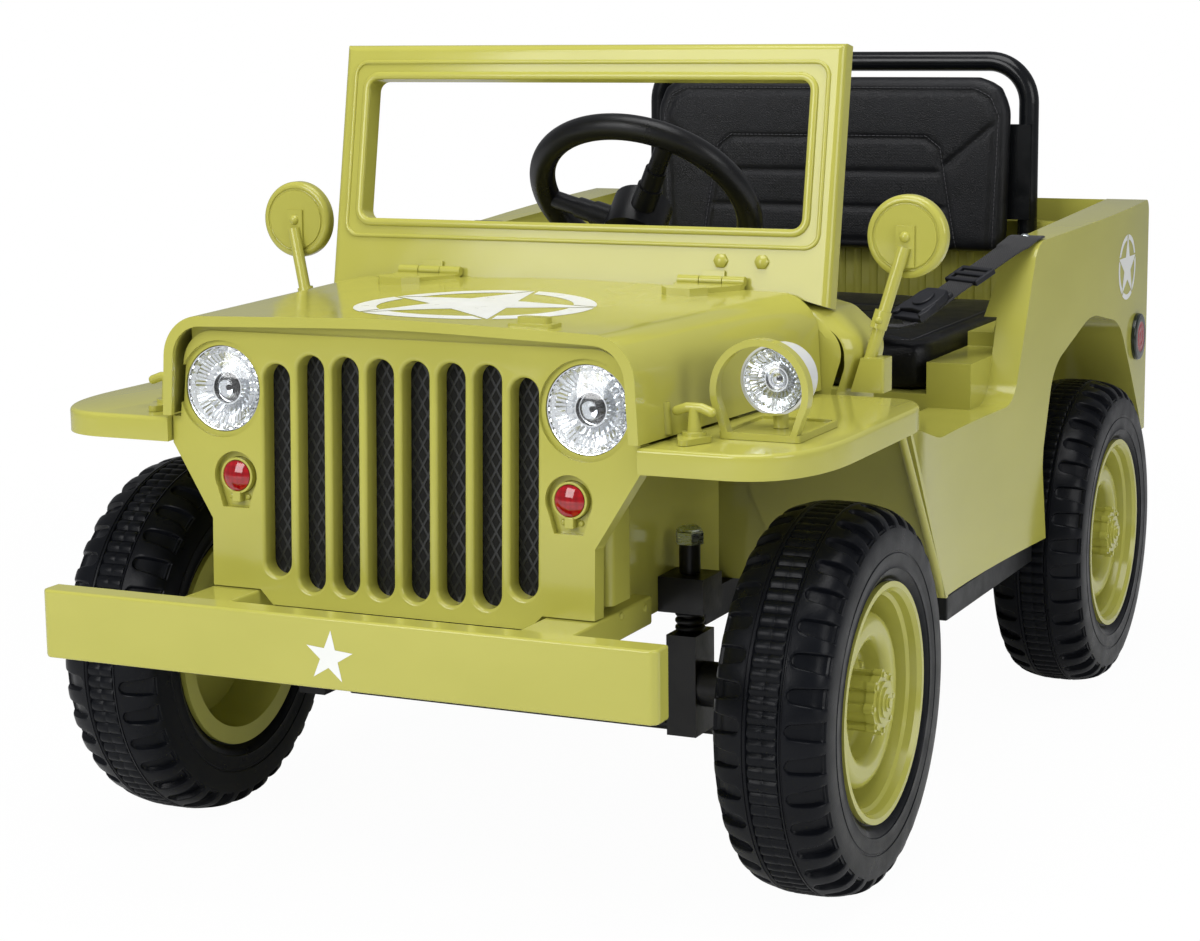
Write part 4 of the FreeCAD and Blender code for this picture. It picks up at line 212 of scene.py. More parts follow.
tyre_black = dark_plastic("tyre plastic", (0.0035, 0.004, 0.0055), 0.31, 900, 0.00015, shine=0.12)
grip_black = dark_plastic("grip plastic", (0.005, 0.0052, 0.006), 0.30, 1400, 0.0002)
gloss_black = dark_plastic("gloss plastic", (0.006, 0.006, 0.007), 0.14, 500, 0.00005)
sill_black = dark_plastic("sill plastic", (0.007, 0.0075, 0.008), 0.40, 1100, 0.0002)
hoop_black = dark_plastic("hoop paint", (0.004, 0.0045, 0.0055), 0.18, 260, 0.00006)
steel_black = dark_plastic("axle paint", (0.004, 0.004, 0.0045), 0.34, 320, 0.0002)
zinc = metal("zinc plate", (0.72, 0.78, 0.80), 0.26)
print("dark and metal finishes:", len(bpy.data.materials))

# %% [markdown]
# The lamps are clear and red acrylic in front of vacuum-plated plastic. Clear acrylic needs transmission
# and its own refraction; the plated bowl is a metal with almost no roughness. The stars are white
# stickers: smooth vinyl with a slightly broken shine. The wing lamp's housing is white with an olive foot
# below a height, and the round reflectors have a dark rim, so these two pick their colour by place.

# %% The lamp and sticker finishes
RED = (0.36, 0.001, 0.004)
HOUSING_FOOT = 0.3410
REFLECTOR_AXIS = (0, 0.465, 0.297)
REFLECTOR_RED = 0.0136
MESH_LEAN = 0.52


def acrylic(name, colour, polish=0.03):
    finish, tree, shader = new_finish(name, colour, polish, Transmission_Weight=1.0, IOR=1.49)
    bumped(tree, shader, grain(tree, 240, 1), 0.05, 0.0002)
    steer(tree, shader, rough=spread(tree, grain(tree, 90, 2), polish, polish + 0.05))
    return finish


def red_acrylic():
    """Small prisms behind a clear face."""
    finish, tree, shader = new_finish("red acrylic", RED, 0.07, Coat_Weight=0.4)
    sockets = {"Vector": own_place(tree), "Scale": 260.0, "Randomness": 0.1}
    prism = add_node(tree, "ShaderNodeTexVoronoi", sockets).outputs[0]
    steer(tree, shader, two_tone(tree, prism, (0.44, 0.001, 0.005), (0.16, 0.000, 0.003)))
    bumped(tree, shader, prism, 0.12, 0.0004)
    return finish


def foot_and_housing():
    finish, tree, shader = new_finish("lamp housing", (0.62, 0.63, 0.62), 0.22)
    height = add_node(tree, "ShaderNodeSeparateXYZ", {0: own_place(tree)}).outputs[2]
    above = spread(tree, height, 0, 1, HOUSING_FOOT, HOUSING_FOOT + 0.0004)
    steer(tree, shader, two_tone(tree, above, OLIVE, (0.64, 0.65, 0.64)))
    bumped(tree, shader, grain(tree, 700, 3), 0.3, 0.0001)
    return finish


def reflector_finish():
    """Red in the middle, a dark rim outside, and ring grooves, by the distance from the reflector's axis."""
    finish, tree, shader = new_finish("rear reflector", RED, 0.14)
    sockets = {0: own_place(tree), 1: (0, 1, 1)}
    flat = add_node(tree, "ShaderNodeVectorMath", sockets, operation="MULTIPLY").outputs[0]
    sockets = {0: flat, 1: REFLECTOR_AXIS}
    away = add_node(tree, "ShaderNodeVectorMath", sockets, operation="DISTANCE").outputs["Value"]
    rim = spread(tree, away, 0, 1, REFLECTOR_RED, REFLECTOR_RED + 0.0006)
    steer(tree, shader, two_tone(tree, rim, (0.30, 0.002, 0.006), (0.010, 0.016, 0.011)))
    bumped(tree, shader, maths(tree, "SINE", maths(tree, "MULTIPLY", away, 900.0)), 0.25, 0.0006)
    return finish


def mesh_finish():
    """Black expanded mesh: two slanted wave bands make the strands, and the holes between them are painted shade,
    nearly black and matt.
    """
    finish, tree, shader = new_finish("grille mesh", (0.006, 0.006, 0.007), 0.3)
    place = own_place(tree)
    bands = []
    for lean in (MESH_LEAN, -MESH_LEAN):
        slant = add_node(tree, "ShaderNodeMapping", {"Vector": place, "Rotation": (0, lean, 0)}).outputs[0]
        bands.append(add_node(tree, "ShaderNodeTexWave", {"Vector": slant, "Scale": 46.0}).outputs[1])
    strands_and_hole_shade = spread(tree, maths(tree, "MAXIMUM", *bands), 0, 1, 0.72, 0.9)
    # The strands keep the mesh's own black; the holes are painted shade, darker and matt, for the shaded space
    # behind them.
    tone = two_tone(tree, strands_and_hole_shade, (0.0006, 0.0006, 0.0006), (0.012, 0.013, 0.014))
    steer(tree, shader, tone, spread(tree, strands_and_hole_shade, 0.9, 0.3, 0.0, 1.0))
    bumped(tree, shader, strands_and_hole_shade, 0.8, 0.0015)
    return finish


clear_acrylic = acrylic("clear acrylic", (0.97, 0.98, 0.99))
red_finish = red_acrylic()
plated = metal("plated bowl", (0.86, 0.88, 0.90), 0.10)
lamp_housing = foot_and_housing()
sticker_white = dark_plastic("sticker vinyl", (0.76, 0.77, 0.74), 0.32, 420, 0.00003, 1.05)
rear_reflector = reflector_finish()
mesh_black = mesh_finish()
print("lamp and sticker finishes:", len(bpy.data.materials))

# %% [markdown]
# Pieces are made in two ways. Some grow from a Geometry Nodes tree, and some are skins: rows of points
# joined by four-sided faces. Both end as a plain mesh at the origin that rides on one of the car's bodies.

# %% Helpers for shapes


def new_tree(name, inputs):
    """A Geometry Nodes tree that takes a mesh and named inputs; returns the tree and its input node."""
    tree = bpy.data.node_groups.new(name, "GeometryNodeTree")
    tree.interface.new_socket("Mesh", in_out="INPUT", socket_type="NodeSocketGeometry")
    for label, kind in inputs:
        tree.interface.new_socket(label, in_out="INPUT", socket_type="NodeSocket" + kind)
    tree.interface.new_socket("Mesh", in_out="OUTPUT", socket_type="NodeSocketGeometry")
    return tree, tree.nodes.new("NodeGroupInput")


def shaded(tree, geometry, sharp):
    """Shade smooth, but keep edges above an angle sharp."""
    smooth = add_node(tree, "GeometryNodeSetShadeSmooth", {0: geometry, "Shade Smooth": True}).outputs[0]
    angle = add_node(tree, "GeometryNodeInputMeshEdgeAngle").outputs[0]
    edge = add_node(tree, "FunctionNodeCompare", {0: angle, 1: sharp}, operation="GREATER_THAN").outputs[0]
    sockets = {0: smooth, "Selection": edge, "Shade Smooth": False}
    return add_node(tree, "GeometryNodeSetShadeSmooth", sockets, domain="EDGE").outputs[0]


def end_tree(tree, geometry, finish, sharp=30.0):
    """Realize the copies, weld them, shade them, give them a material and leave the tree."""
    real = add_node(tree, "GeometryNodeRealizeInstances", {"Geometry": geometry}).outputs[0]
    welded = add_node(tree, "GeometryNodeMergeByDistance", {"Geometry": real, "Distance": 1e-5}).outputs[0]
    crisp = shaded(tree, welded, math.radians(sharp))
    coloured = add_node(tree, "GeometryNodeSetMaterial", {"Geometry": crisp, "Material": finish}).outputs[0]
    add_node(tree, "NodeGroupOutput", {0: coloured})
    return tree


def run_tree(piece, tree, inputs):
    """Put a tree on a piece as a modifier, with its named inputs set."""
    modifier = piece.modifiers.new(tree.name, "NODES")
    modifier.node_group = tree
    for item in tree.interface.items_tree:
        if item.in_out == "INPUT" and item.name.lower() in inputs:
            modifier[item.identifier] = inputs[item.name.lower()]


def frozen(piece):
    """Keep what a piece's modifiers make as its plain mesh, without the modifiers."""
    ready = piece.evaluated_get(bpy.context.evaluated_depsgraph_get())
    piece.data = bpy.data.meshes.new_from_object(ready)
    piece.modifiers.clear()
    return piece.data


def grown(name, tree, mesh, body, **inputs):
    """Run a tree on a mesh, keep the result as a plain mesh at the origin, and let it ride on a body."""
    piece = linked(name, mesh)
    run_tree(piece, tree, inputs)
    frozen(piece)
    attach(piece, body)
    return piece


def circle(count, radius=1.0, sweep=math.tau):
    """Flat points evenly round a circle, or round a part of it."""
    angles = [sweep * k / count for k in range(count)]
    return [(radius * math.cos(angle), radius * math.sin(angle)) for angle in angles]


def skin(rows, closed=True, caps=()):
    """Points and faces that join rows of equal length; each row in caps gets a face of its own."""
    count = len(rows[0])
    faces = [[row % len(rows) * count + k for k in range(count)] for row in caps]
    for row in range(len(rows) - 1):
        for k in range(count if closed else count - 1):
            a, b = row * count + k, row * count + (k + 1) % count
            faces.append((a, b, b + count, a + count))
    return [point for row in rows for point in row], faces


def joined(skins):
    """Several skins as one."""
    points, faces = [], []
    for more_points, more_faces in skins:
        faces += [[len(points) + k for k in face] for face in more_faces]
        points += more_points
    return points, faces


def built(name, surface, finish, body, smooth=True):
    """A plain piece from points in millimetres and faces, turned outwards; without a body just its mesh."""
    points, faces = surface
    mesh = bpy.data.meshes.new(name)
    mesh.from_pydata([tuple(Vector(point) * MM) for point in points], [], faces)
    shape = bmesh.new()
    shape.from_mesh(mesh)
    bmesh.ops.remove_doubles(shape, verts=shape.verts, dist=1e-6)
    bmesh.ops.recalc_face_normals(shape, faces=shape.faces)
    for face in shape.faces:
        face.smooth = smooth
    shape.to_mesh(mesh)
    shape.free()
    if finish:
        mesh.materials.append(finish)
    if not body:
        return mesh
    piece = linked(name, mesh)
    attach(piece, body)
    return piece


def node_surface(name):
    """A CAD node as it looks with its rounded edges, for ray casts."""
    return BVHTree.FromObject(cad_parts[name], bpy.context.evaluated_depsgraph_get())


def hit_from(name, place, way):
    """Where a ray from a place meets a CAD node; millimetres."""
    spot = node_surface(name).ray_cast(Vector(place) * MM, Vector(way))[0]
    return spot / MM if spot else None


print("shape helpers ready")

# %% [markdown]
# Injection-moulded edges are never razor sharp, and the thin bright line along each one is most of what
# makes plastic look real. The CAD shells come in as loose triangles, so a small tree first welds them and
# marks the sharp edges by their angle. Then the flat triangles are joined to whole faces and a Bevel
# modifier rounds the edges. These are modifiers, so the CAD mesh itself stays as it is.

# %% Round the moulded edges
SHARP_EDGE = math.radians(24)
FLAT_FACE = math.radians(0.4)
EDGE_WIDTHS = {
    4.0: "tub",
    2.4: "fender_left fender_right",
    2.2: "windshield_frame",
    2.0: "cowl bumper battery",
    1.8: "hood",
    1.5: "sills",
    1.2: "engine_bay dashboard",
    1.0: "grille_panel",
    0.8: "lamp_guard hood_hooks mirror_left mirror_right",
    0.6: "hood_hinge_mounts",
    0.5: "marker_bezels",
}


def weld_tree():
    """Weld loose triangles and shade them by their real edges."""
    tree, given = new_tree("weld shell", [("Angle", "Float")])
    merged = add_node(tree, "GeometryNodeMergeByDistance", {"Geometry": given.outputs[0], "Distance": 1e-5})
    plain = add_node(tree, "GeometryNodeRemoveAttribute", {"Geometry": merged.outputs[0]})
    plain.inputs["Name"].default_value = "custom_normal"
    add_node(tree, "NodeGroupOutput", {0: shaded(tree, plain.outputs[0], given.outputs["Angle"])})
    return tree


def soften(shell, width):
    """Weld a CAD node and round its edges by a width in millimetres."""
    run_tree(shell, WELD, {"angle": SHARP_EDGE})
    flat = shell.modifiers.new("whole faces", "DECIMATE")
    flat.decimate_type, flat.angle_limit = "DISSOLVE", FLAT_FACE
    bevel = shell.modifiers.new("moulded edge", "BEVEL")
    bevel.width, bevel.segments = width * MM, 2
    bevel.limit_method, bevel.angle_limit = "ANGLE", SHARP_EDGE
    bevel.miter_outer, bevel.harden_normals = "MITER_ARC", True


WELD = weld_tree()
for width, names in EDGE_WIDTHS.items():
    for name in names.split():
        soften(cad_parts[name], width)
print("softened by widths of", list(EDGE_WIDTHS), "mm")

# %% [markdown]
# The tyres are hollow blow-moulded plastic with a field tread: a middle band of round cross ribs, a fine
# ring groove on each side of it, and 36 pockets per shoulder with a round inner end. They could be
# modelled whole, but everything repeats, so one 20-degree sector is built as a grid whose lines follow
# the pocket edges, and a Geometry Nodes tree turns copies of it about the axle. The same tree also sets
# bolts in a circle, which is why its count, place and turn are inputs.

# %% A tree that repeats a mesh about the axle


def axle_tree():
    inputs = [("Count", "Int"), ("Place", "Vector"), ("Turn", "Vector"), ("Finish", "Material")]
    tree, given = new_tree("repeat about the axle", inputs)
    points = add_node(tree, "GeometryNodePoints", {"Count": given.outputs["Count"]}).outputs[0]
    index = add_node(tree, "GeometryNodeInputIndex").outputs[0]
    angle = maths(tree, "MULTIPLY", index, maths(tree, "DIVIDE", math.tau, given.outputs["Count"]))
    about_x = add_node(tree, "ShaderNodeCombineXYZ", {"X": angle}).outputs[0]
    turned = add_node(tree, "FunctionNodeEulerToRotation", {0: about_x}).outputs[0]
    sockets = {"Points": points, "Instance": given.outputs["Mesh"], "Rotation": turned}
    copies = add_node(tree, "GeometryNodeInstanceOnPoints", sockets).outputs[0]
    real = add_node(tree, "GeometryNodeRealizeInstances", {"Geometry": copies}).outputs[0]
    turn = add_node(tree, "FunctionNodeEulerToRotation", {0: given.outputs["Turn"]}).outputs[0]
    sockets = {"Geometry": real, "Translation": given.outputs["Place"], "Rotation": turn}
    placed = add_node(tree, "GeometryNodeTransform", sockets).outputs[0]
    return end_tree(tree, placed, given.outputs["Finish"])


AROUND = axle_tree()
print("trees:", [group.name for group in bpy.data.node_groups])

# %% [markdown]
# The sector's section is a smooth curve through a few points: distance along the axle, then radius. Its
# rows are counted along that curve from the tyre's middle. A pocket is wide at the sidewall and closes in
# a half circle near the band, so the grid lines beside it are spread by the pocket's half width at each
# row. The ribs are lowered between their crests, and the pocket floor is lowered by a depth that grows
# outwards and ends in two small steps.

# %% One sector of the tread
TYRE_SKIN = [(0, 135), (6, 135), (11, 134.8), (15, 134.3), (22, 133.0), (29, 130.8), (34, 127.8), (37.4, 123.6),
             (39.4, 118), (40, 111), (40, 104), (39.6, 97), (38.7, 91), (37, 87.2), (34.4, 85.2), (33.7, 83),
             (33.6, 80.6), (33.6, 78.8)]
TREAD_ROWS = [0, 0.5, 1.1, 4.5, 8.0, 9.3, 10.1, 10.6, 11.2, 12.3, 12.7, 13.4, 13.8, 15.2, 15.6, 16.2, 17.2, 18.7,
              20.8, 24, 28, 32, 35.5, 38.5, 41, 42.6, 43.2, 44.6, 45.1, 47, 51, 56, 60.4, 61, 62, 62.6, 67, 71,
              72.4, 73.2, 77, 80, 82.5, 84.5, 87]
SECTOR = math.radians(20)
SECTORS = 18
POCKET_LINES = 15
POCKET_PITCH = 23.0
POCKET_START, POCKET_ROUND = 15.4, 5.2
POCKET_DEPTH = [(15.2, 0), (15.7, 1.6), (17, 2.7), (21, 3.5), (30, 4.6), (38, 4.8), (42, 3.3), (42.7, 2.6),
                (43.1, 1.2), (44.7, 1.1), (45.1, 0)]
BAND_EDGE = 11.5
RIBS, RIB_DEPTH = 5, 1.9
RIB_END = [(9.0, 1), (10.1, 0.85), (10.6, 0.35), (11.2, 0)]
RINGS = [[(0, 0.25), (0.5, 0.2), (1.1, 0)], [(12.3, 0), (12.7, 0.7), (13.4, 0.7), (13.8, 0)],
         [(60.4, 0), (61, 0.6), (62, 0.6), (62.6, 0)], [(71, 0), (72.4, -0.7), (73.2, 0)]]


def along(points, count=24):
    """A smooth line through points, as a fine list."""
    fine = []
    padded = [points[0]] + points + [points[-1]]
    for i in range(1, len(padded) - 2):
        a, b, c, d = (Vector(p) for p in padded[i - 1:i + 3])
        for k in range(count):
            t = k / count
            fine.append(0.5 * (2 * b + (c - a) * t + (2 * a - 5 * b + 4 * c - d) * t * t
                               + (3 * b - a - 3 * c + d) * t ** 3))
    return fine + [Vector(points[-1])]


def level(table, at):
    """Read a value from a table of steps, straight between them."""
    if at <= table[0][0]:
        return table[0][1]
    for (x0, y0), (x1, y1) in zip(table, table[1:]):
        if at <= x1:
            return y0 + (y1 - y0) * (at - x0) / (x1 - x0)
    return table[-1][1]


def pocket_lines(s):
    """Where the grid lines of one pocket run at a row, and how far each is lowered."""
    middle = POCKET_START + POCKET_ROUND
    if s < middle:
        w = math.sqrt(max(POCKET_ROUND ** 2 - (middle - max(s, POCKET_START)) ** 2, 0.01))
    else:
        w = POCKET_ROUND + 0.095 * (s - middle)
    wall, foot, floor = min(0.4, 0.2 * w), min(1.0, 0.45 * w), min(2.4, 0.7 * w)
    half = [(w + 2.2, 0), (w + 0.6, 0.03), (w, 0.14), (w - wall, 0.6), (w - foot, 0.96), (w - floor, 1), (w / 5, 1)]
    return [(-POCKET_PITCH / 2, 0)] + [(-place, share) for place, share in half] + half[::-1]


def row_drop(s, even):
    """How far a row lies below the smooth skin at a share of the sector, apart from the pockets."""
    drop = sum(level(ring, s) for ring in RINGS)
    if s < BAND_EDGE:
        crest = max(1 - ((even * RIBS % 1 - 0.5) / 0.4) ** 2, 0) ** 0.5
        drop += RIB_DEPTH * (1 - crest * level(RIB_END, s)) if s < 11.0 else 0.3
    return drop


def tread_sector():
    fine = along(TYRE_SKIN)
    reach = [0.0]
    for a, b in zip(fine, fine[1:]):
        reach.append(reach[-1] + (b - a).length)
    lines = 2 * POCKET_LINES
    rows = []
    for signed in [-s for s in reversed(TREAD_ROWS[1:])] + TREAD_ROWS:
        side, s = (1 if signed >= 0 else -1), min(abs(signed), reach[-1])
        i = min(max(k for k in range(len(reach)) if reach[k] <= s + 1e-9), len(fine) - 2)
        spot = fine[i].lerp(fine[i + 1], (s - reach[i]) / (reach[i + 1] - reach[i]))
        run = (fine[i + 1] - fine[i]).normalized()
        normal = Vector((-run.y, run.x))
        if (normal.y if spot.y > 120 else normal.x) < 0:
            normal = -normal
        warp = min(max((s - BAND_EDGE) / 3.0, 0), 1)
        row = []
        for k in range(lines + 1):
            even = k / lines
            pocket, line = divmod(k, POCKET_LINES)
            place, share = pocket_lines(s)[line]
            bent = (pocket + 0.5 + place / POCKET_PITCH) / 2
            turn = (even + (bent - even) * warp) * SECTOR
            pocket_drop = level(POCKET_DEPTH, s) * share if s >= BAND_EDGE else 0
            at = spot - normal * (pocket_drop + row_drop(s, even))
            row.append((side * at.x, -at.y * math.sin(turn), at.y * math.cos(turn)))
        rows.append(row)
    return built("tread_sector", skin(rows, closed=False), None, None)


sector = tread_sector()
print("one sector:", len(sector.polygons), "faces")

# %% The four tyres
AXLE_HEIGHT = 0.135
TRACK, FRONT_AXLE, REAR_AXLE = 0.256, -0.275, 0.352
WHEELS = {
    "front_left": (TRACK, FRONT_AXLE, 0.0),
    "front_right": (-TRACK, FRONT_AXLE, math.pi),
    "rear_left": (TRACK, REAR_AXLE, 0.0),
    "rear_right": (-TRACK, REAR_AXLE, math.pi),
}


def on_wheel(name, wheel, mesh, count, finish):
    """Copies of a mesh in a circle about a wheel's axle."""
    x, y, turn = WHEELS[wheel]
    return grown(name + "_" + wheel, AROUND, mesh, "wheel_" + wheel, count=count, place=(x, y, AXLE_HEIGHT),
                 turn=(0, 0, turn), finish=finish)


for wheel in WHEELS:
    tread = on_wheel("tread", wheel, sector, SECTORS, tyre_black)
    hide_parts("tyre_" + wheel)
print("tread faces each:", len(tread.data.polygons))

# %% [markdown]
# The white stars are vinyl stickers pressed on the plastic. They could be painted by a material, but a
# real sticker has an edge and its own shine, and it has to bend over the bonnet's crown. So each is drawn
# flat, cut into small triangles, and dropped on the surface below it with a ray cast. The bonnet and the
# rear corners carry a star in a broken ring: its five arcs stop just short of the star's arms.

# %% Draw a star and its broken ring
STAR_WAIST = 0.382
STICKER_THICK = 0.00018


def ring_arc(radius, inner, first_arm, slit):
    """One arc between two of the star's arms, as three rows of points."""
    strip = []
    for reach in (inner, (inner + radius) / 2, radius):
        arm = (radius - reach) * math.tan(math.radians(18))
        lead = math.asin(min((arm + slit) / reach, 1))
        angles = [first_arm + lead + (math.tau / 5 - 2 * lead) * k / 14 for k in range(15)]
        strip.append([(reach * math.cos(angle), reach * math.sin(angle), 0) for angle in angles])
    return strip


def sticker(name, node, body, centre, right, up, radius, turn, ring=0.0, slit=2.0, step=6.0):
    """Drop a star, with its ring if it has one, on a node's surface against the sticker's normal."""
    arms = [radius, radius * STAR_WAIST] * 5
    corners = [(reach * math.cos(turn + k * math.pi / 5), reach * math.sin(turn + k * math.pi / 5), 0)
               for k, reach in enumerate(arms)]
    skins = [(corners + [(0, 0, 0)], [(10, k, (k + 1) % 10) for k in range(10)])]
    if ring:
        skins += [skin(ring_arc(radius, radius * ring, turn + tip * math.tau / 5, slit), closed=False)
                  for tip in range(5)]
    points, faces = joined(skins)
    mesh = bpy.data.meshes.new(name)
    mesh.from_pydata(points, [], faces)
    shape = bmesh.new()
    shape.from_mesh(mesh)
    for _ in range(4):
        long_edges = [edge for edge in shape.edges if edge.calc_length() > step]
        if long_edges:
            bmesh.ops.subdivide_edges(shape, edges=long_edges, cuts=1)
    bmesh.ops.triangulate(shape, faces=shape.faces)
    surface = node_surface(node)
    right, up = Vector(right), Vector(up)
    out = right.cross(up)
    for vert in shape.verts:
        flat = (Vector(centre) + right * vert.co.x + up * vert.co.y) * MM
        spot = surface.ray_cast(flat + out * 0.03, -out)[0]
        vert.co = (spot or flat) + out * STICKER_THICK
    shape.to_mesh(mesh)
    shape.free()
    mesh.materials.append(sticker_white)
    mesh.shade_smooth()
    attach(linked(name, mesh), body)


sticker("star_hood", "hood", "hood", (12, -326, 405), (1, 0, 0), (0, 1, 0), 84, math.radians(87), 0.81, 3.0, 7)
for side, sign in SIDES:
    sticker("star_side_" + side, "tub", "car_body", (sign * 282, 425, 365), (0, sign, 0), (0, 0, 1), 29.5,
            math.radians(90), 0.84, 1.6, 4)
sticker("star_bumper", "bumper", "car_body", (-2, -512, 193.1), (1, 0, 0), (0, 0, 1), 18.1, math.radians(85))

# %% [markdown]
# Each headlamp is a plated bowl behind a clear domed lens, with a small bulb and its clear cap in the
# middle. The real lens throws square flashes because the bowl is pressed into facets, so the bowl is made
# here from 24 equal slices with saw teeth, flutes and raised blocks, repeated by the tree that made the
# tyres. The lamps in the grille lean back with the panel.

# %% Faceted lamp bowls
LAMP_SLICES = 24
GRILLE_LEAN = math.radians(2.3)
GRILLE_FOOT = (-423, 211)
HEADLAMP_X, HEADLAMP_RISE = 138.5, 137
WING_LAMP = (240, -345, 363)


def lamp_sector(radius, front, back, centre_ring):
    """A slice of bowl and can about the X axis, its mouth towards +X; rows are radius, depth, lift pattern."""
    deep = back - front
    rows = [
        (0.02, back, 0), (radius, back, 0), (radius, front, 0), (radius - 0.9, front, 0),
        (radius - 1.0, front + 0.9, 0), (radius * 0.93, front + 1.4, 3), (radius * 0.84, front + 0.22 * deep, 3),
        (radius * 0.82, front + 0.2 * deep, 2), (radius * 0.63, front + 0.45 * deep, 2),
        (radius * 0.60, front + 0.42 * deep, 1), (radius * 0.44, front + 0.65 * deep, 1),
        (centre_ring, front + 0.65 * deep, 0), (centre_ring, front + 0.3 * deep, 0),
        (centre_ring - 0.9, front + 0.3 * deep, 0), (centre_ring - 1.1, front + 0.6 * deep, 0),
        (centre_ring * 0.5, front + 0.72 * deep, 0), (0.02, front + 0.75 * deep, 0),
    ]
    lifts = ((0, 0, 0, 0, 0), (0, 0.5, 1.0, 1.5, 0), (0, 0.8, 0, 0.8, 0), (0, 1.1, 1.1, 0, 0))
    wedge = circle(5, 1.0, math.tau / LAMP_SLICES * 5 / 4)
    slices = [[(lift - depth, -reach * sine, reach * cosine) for lift, (cosine, sine) in zip(lifts[kind], wedge)]
              for reach, depth, kind in rows]
    return built("lamp_sector", skin(slices, closed=False), None, None, smooth=False)


def lean_back(x, depth, rise):
    """A point of the leaning grille panel, in millimetres: across, into the car, up the panel."""
    y = GRILLE_FOOT[0] + depth * math.cos(GRILLE_LEAN) + rise * math.sin(GRILLE_LEAN)
    return (x, y, GRILLE_FOOT[1] + rise * math.cos(GRILLE_LEAN) - depth * math.sin(GRILLE_LEAN))


def in_wing_lamp(depth):
    """A point on the wing lamp's axis, behind its mouth by a depth in millimetres."""
    return (WING_LAMP[0], WING_LAMP[1] + depth, WING_LAMP[2])


def lamp_bowl(side, slice_mesh, spot, lean):
    """A whole bowl that faces the front."""
    return grown("lamp_bowl_" + side, AROUND, slice_mesh, "car_body", count=LAMP_SLICES, place=Vector(spot) * MM,
                 turn=(0, lean, -math.pi / 2), finish=plated)


for side, sign in SIDES:
    spot = lean_back(HEADLAMP_X * sign, 0, HEADLAMP_RISE)
    bowl = lamp_bowl(side, lamp_sector(29.3, 4.3, 19.8, 11.6), spot, -GRILLE_LEAN)
    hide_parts("headlamps")
wing_bowl = lamp_bowl("wing", lamp_sector(21.2, 1.0, 14.0, 8.2), in_wing_lamp(0), 0)
print("bowl faces:", len(bowl.data.polygons), len(wing_bowl.data.polygons))

# %% Bulbs and their clear caps


def ball_part(name, centre, radius, squash, finish, front_only=False):
    """A round bead on a lamp's axis, flattened along Y; with front_only just its front half."""
    rows = []
    for row in range(11):
        polar = math.pi / (2 if front_only else 1) * row / 10
        y = centre[1] - radius * squash * math.cos(polar)
        rows.append([(centre[0] + x, y, centre[2] + z) for x, z in circle(28, radius * math.sin(polar))])
    built(name, skin(rows, caps=(-1,) if front_only else ()), finish, "car_body")


for side, sign in SIDES:
    ball_part("bulb_" + side, lean_back(HEADLAMP_X * sign, 12.5, HEADLAMP_RISE), 1.9, 1.2, gloss_black)
    ball_part("bulb_cap_" + side, lean_back(HEADLAMP_X * sign, 13.5, HEADLAMP_RISE), 9.6, 0.62, clear_acrylic, True)
ball_part("bulb_wing", in_wing_lamp(10.5), 1.5, 1.2, gloss_black)
ball_part("bulb_cap_wing", in_wing_lamp(11), 6.6, 0.7, clear_acrylic, True)

# %% [markdown]
# The seat is foam under black leatherette. Its back has an outer seam, a middle panel of sewn channels
# with a fine perforation, and a diagonal seam to each upper corner. A flat block with drawn lines would
# look hard, so each pad starts as a slightly thin block, is remeshed evenly, and is blown up by Cloth
# pressure while the vertices on the seams and at the rear are held. The channels then bulge by
# themselves, and the seams are pressed in a little more afterwards.

# %% Leatherette


def leatherette(name, perforated=False):
    finish, tree, shader = new_finish(name, (0.005, 0.0052, 0.0065), 0.32, Specular_IOR_Level=0.26)
    place = own_place(tree)
    cells = add_node(tree, "ShaderNodeTexVoronoi", {"Vector": place, "Scale": 620.0}, feature="DISTANCE_TO_EDGE")
    pebble = spread(tree, cells.outputs[0], 0, 1, 0.0, 0.25)
    crease = grain(tree, 38, 5, (1, 1, 1.6))
    worn = two_tone(tree, spread(tree, crease, 0, 1), (0.004, 0.0042, 0.0055), (0.008, 0.0085, 0.0105))
    steer(tree, shader, worn, spread(tree, crease, 0.30, 0.44))
    height = maths(tree, "MULTIPLY_ADD", crease, 2.0, pebble)
    if perforated:
        sockets = {"Vector": place, "Scale": 330.0, "Randomness": 0.0}
        holes = add_node(tree, "ShaderNodeTexVoronoi", sockets).outputs[0]
        height = maths(tree, "ADD", height, spread(tree, holes, -2.0, 0, 0.14, 0.24))
    bumped(tree, shader, height, 0.35, 0.00035)
    return finish


def thread_finish():
    finish, tree, shader = new_finish("seat thread", (0.05, 0.05, 0.055), 0.6)
    steer(tree, shader, two_tone(tree, grain(tree, 900, 1), (0.03, 0.03, 0.034), (0.09, 0.09, 0.10)))
    return finish


seat_skin = leatherette("seat leatherette")
panel_skin = leatherette("perforated leatherette", True)
thread = thread_finish()
print("leatherettes:", seat_skin.name, panel_skin.name)

# %% A pad blown up by cloth pressure
CLOTH = {"quality": 5, "mass": 0.2, "tension_stiffness": 12, "compression_stiffness": 12, "bending_stiffness": 0.4,
         "use_pressure": True, "uniform_pressure_force": 4.0, "vertex_group_mass": "held"}
CLOTH_FRAMES = 20
SEAM_HELD = 3.2
SEAM_DEPTH, SEAM_WIDTH = 1.8, 2.2


def mirrored(half):
    """A line and its mirror image across X, as one line."""
    return [Vector(point) for point in half] + [Vector((-point[0], *point[1:])) for point in reversed(half)]


def seam_gap(spot, seams):
    """How far a flat point is from the nearest seam."""
    least = math.inf
    for line in seams:
        for a, b in zip(line, line[1:]):
            run = b - a
            share = min(max((spot - a).dot(run) / run.length_squared, 0), 1)
            least = min(least, (spot - a - run * share).length)
    return least


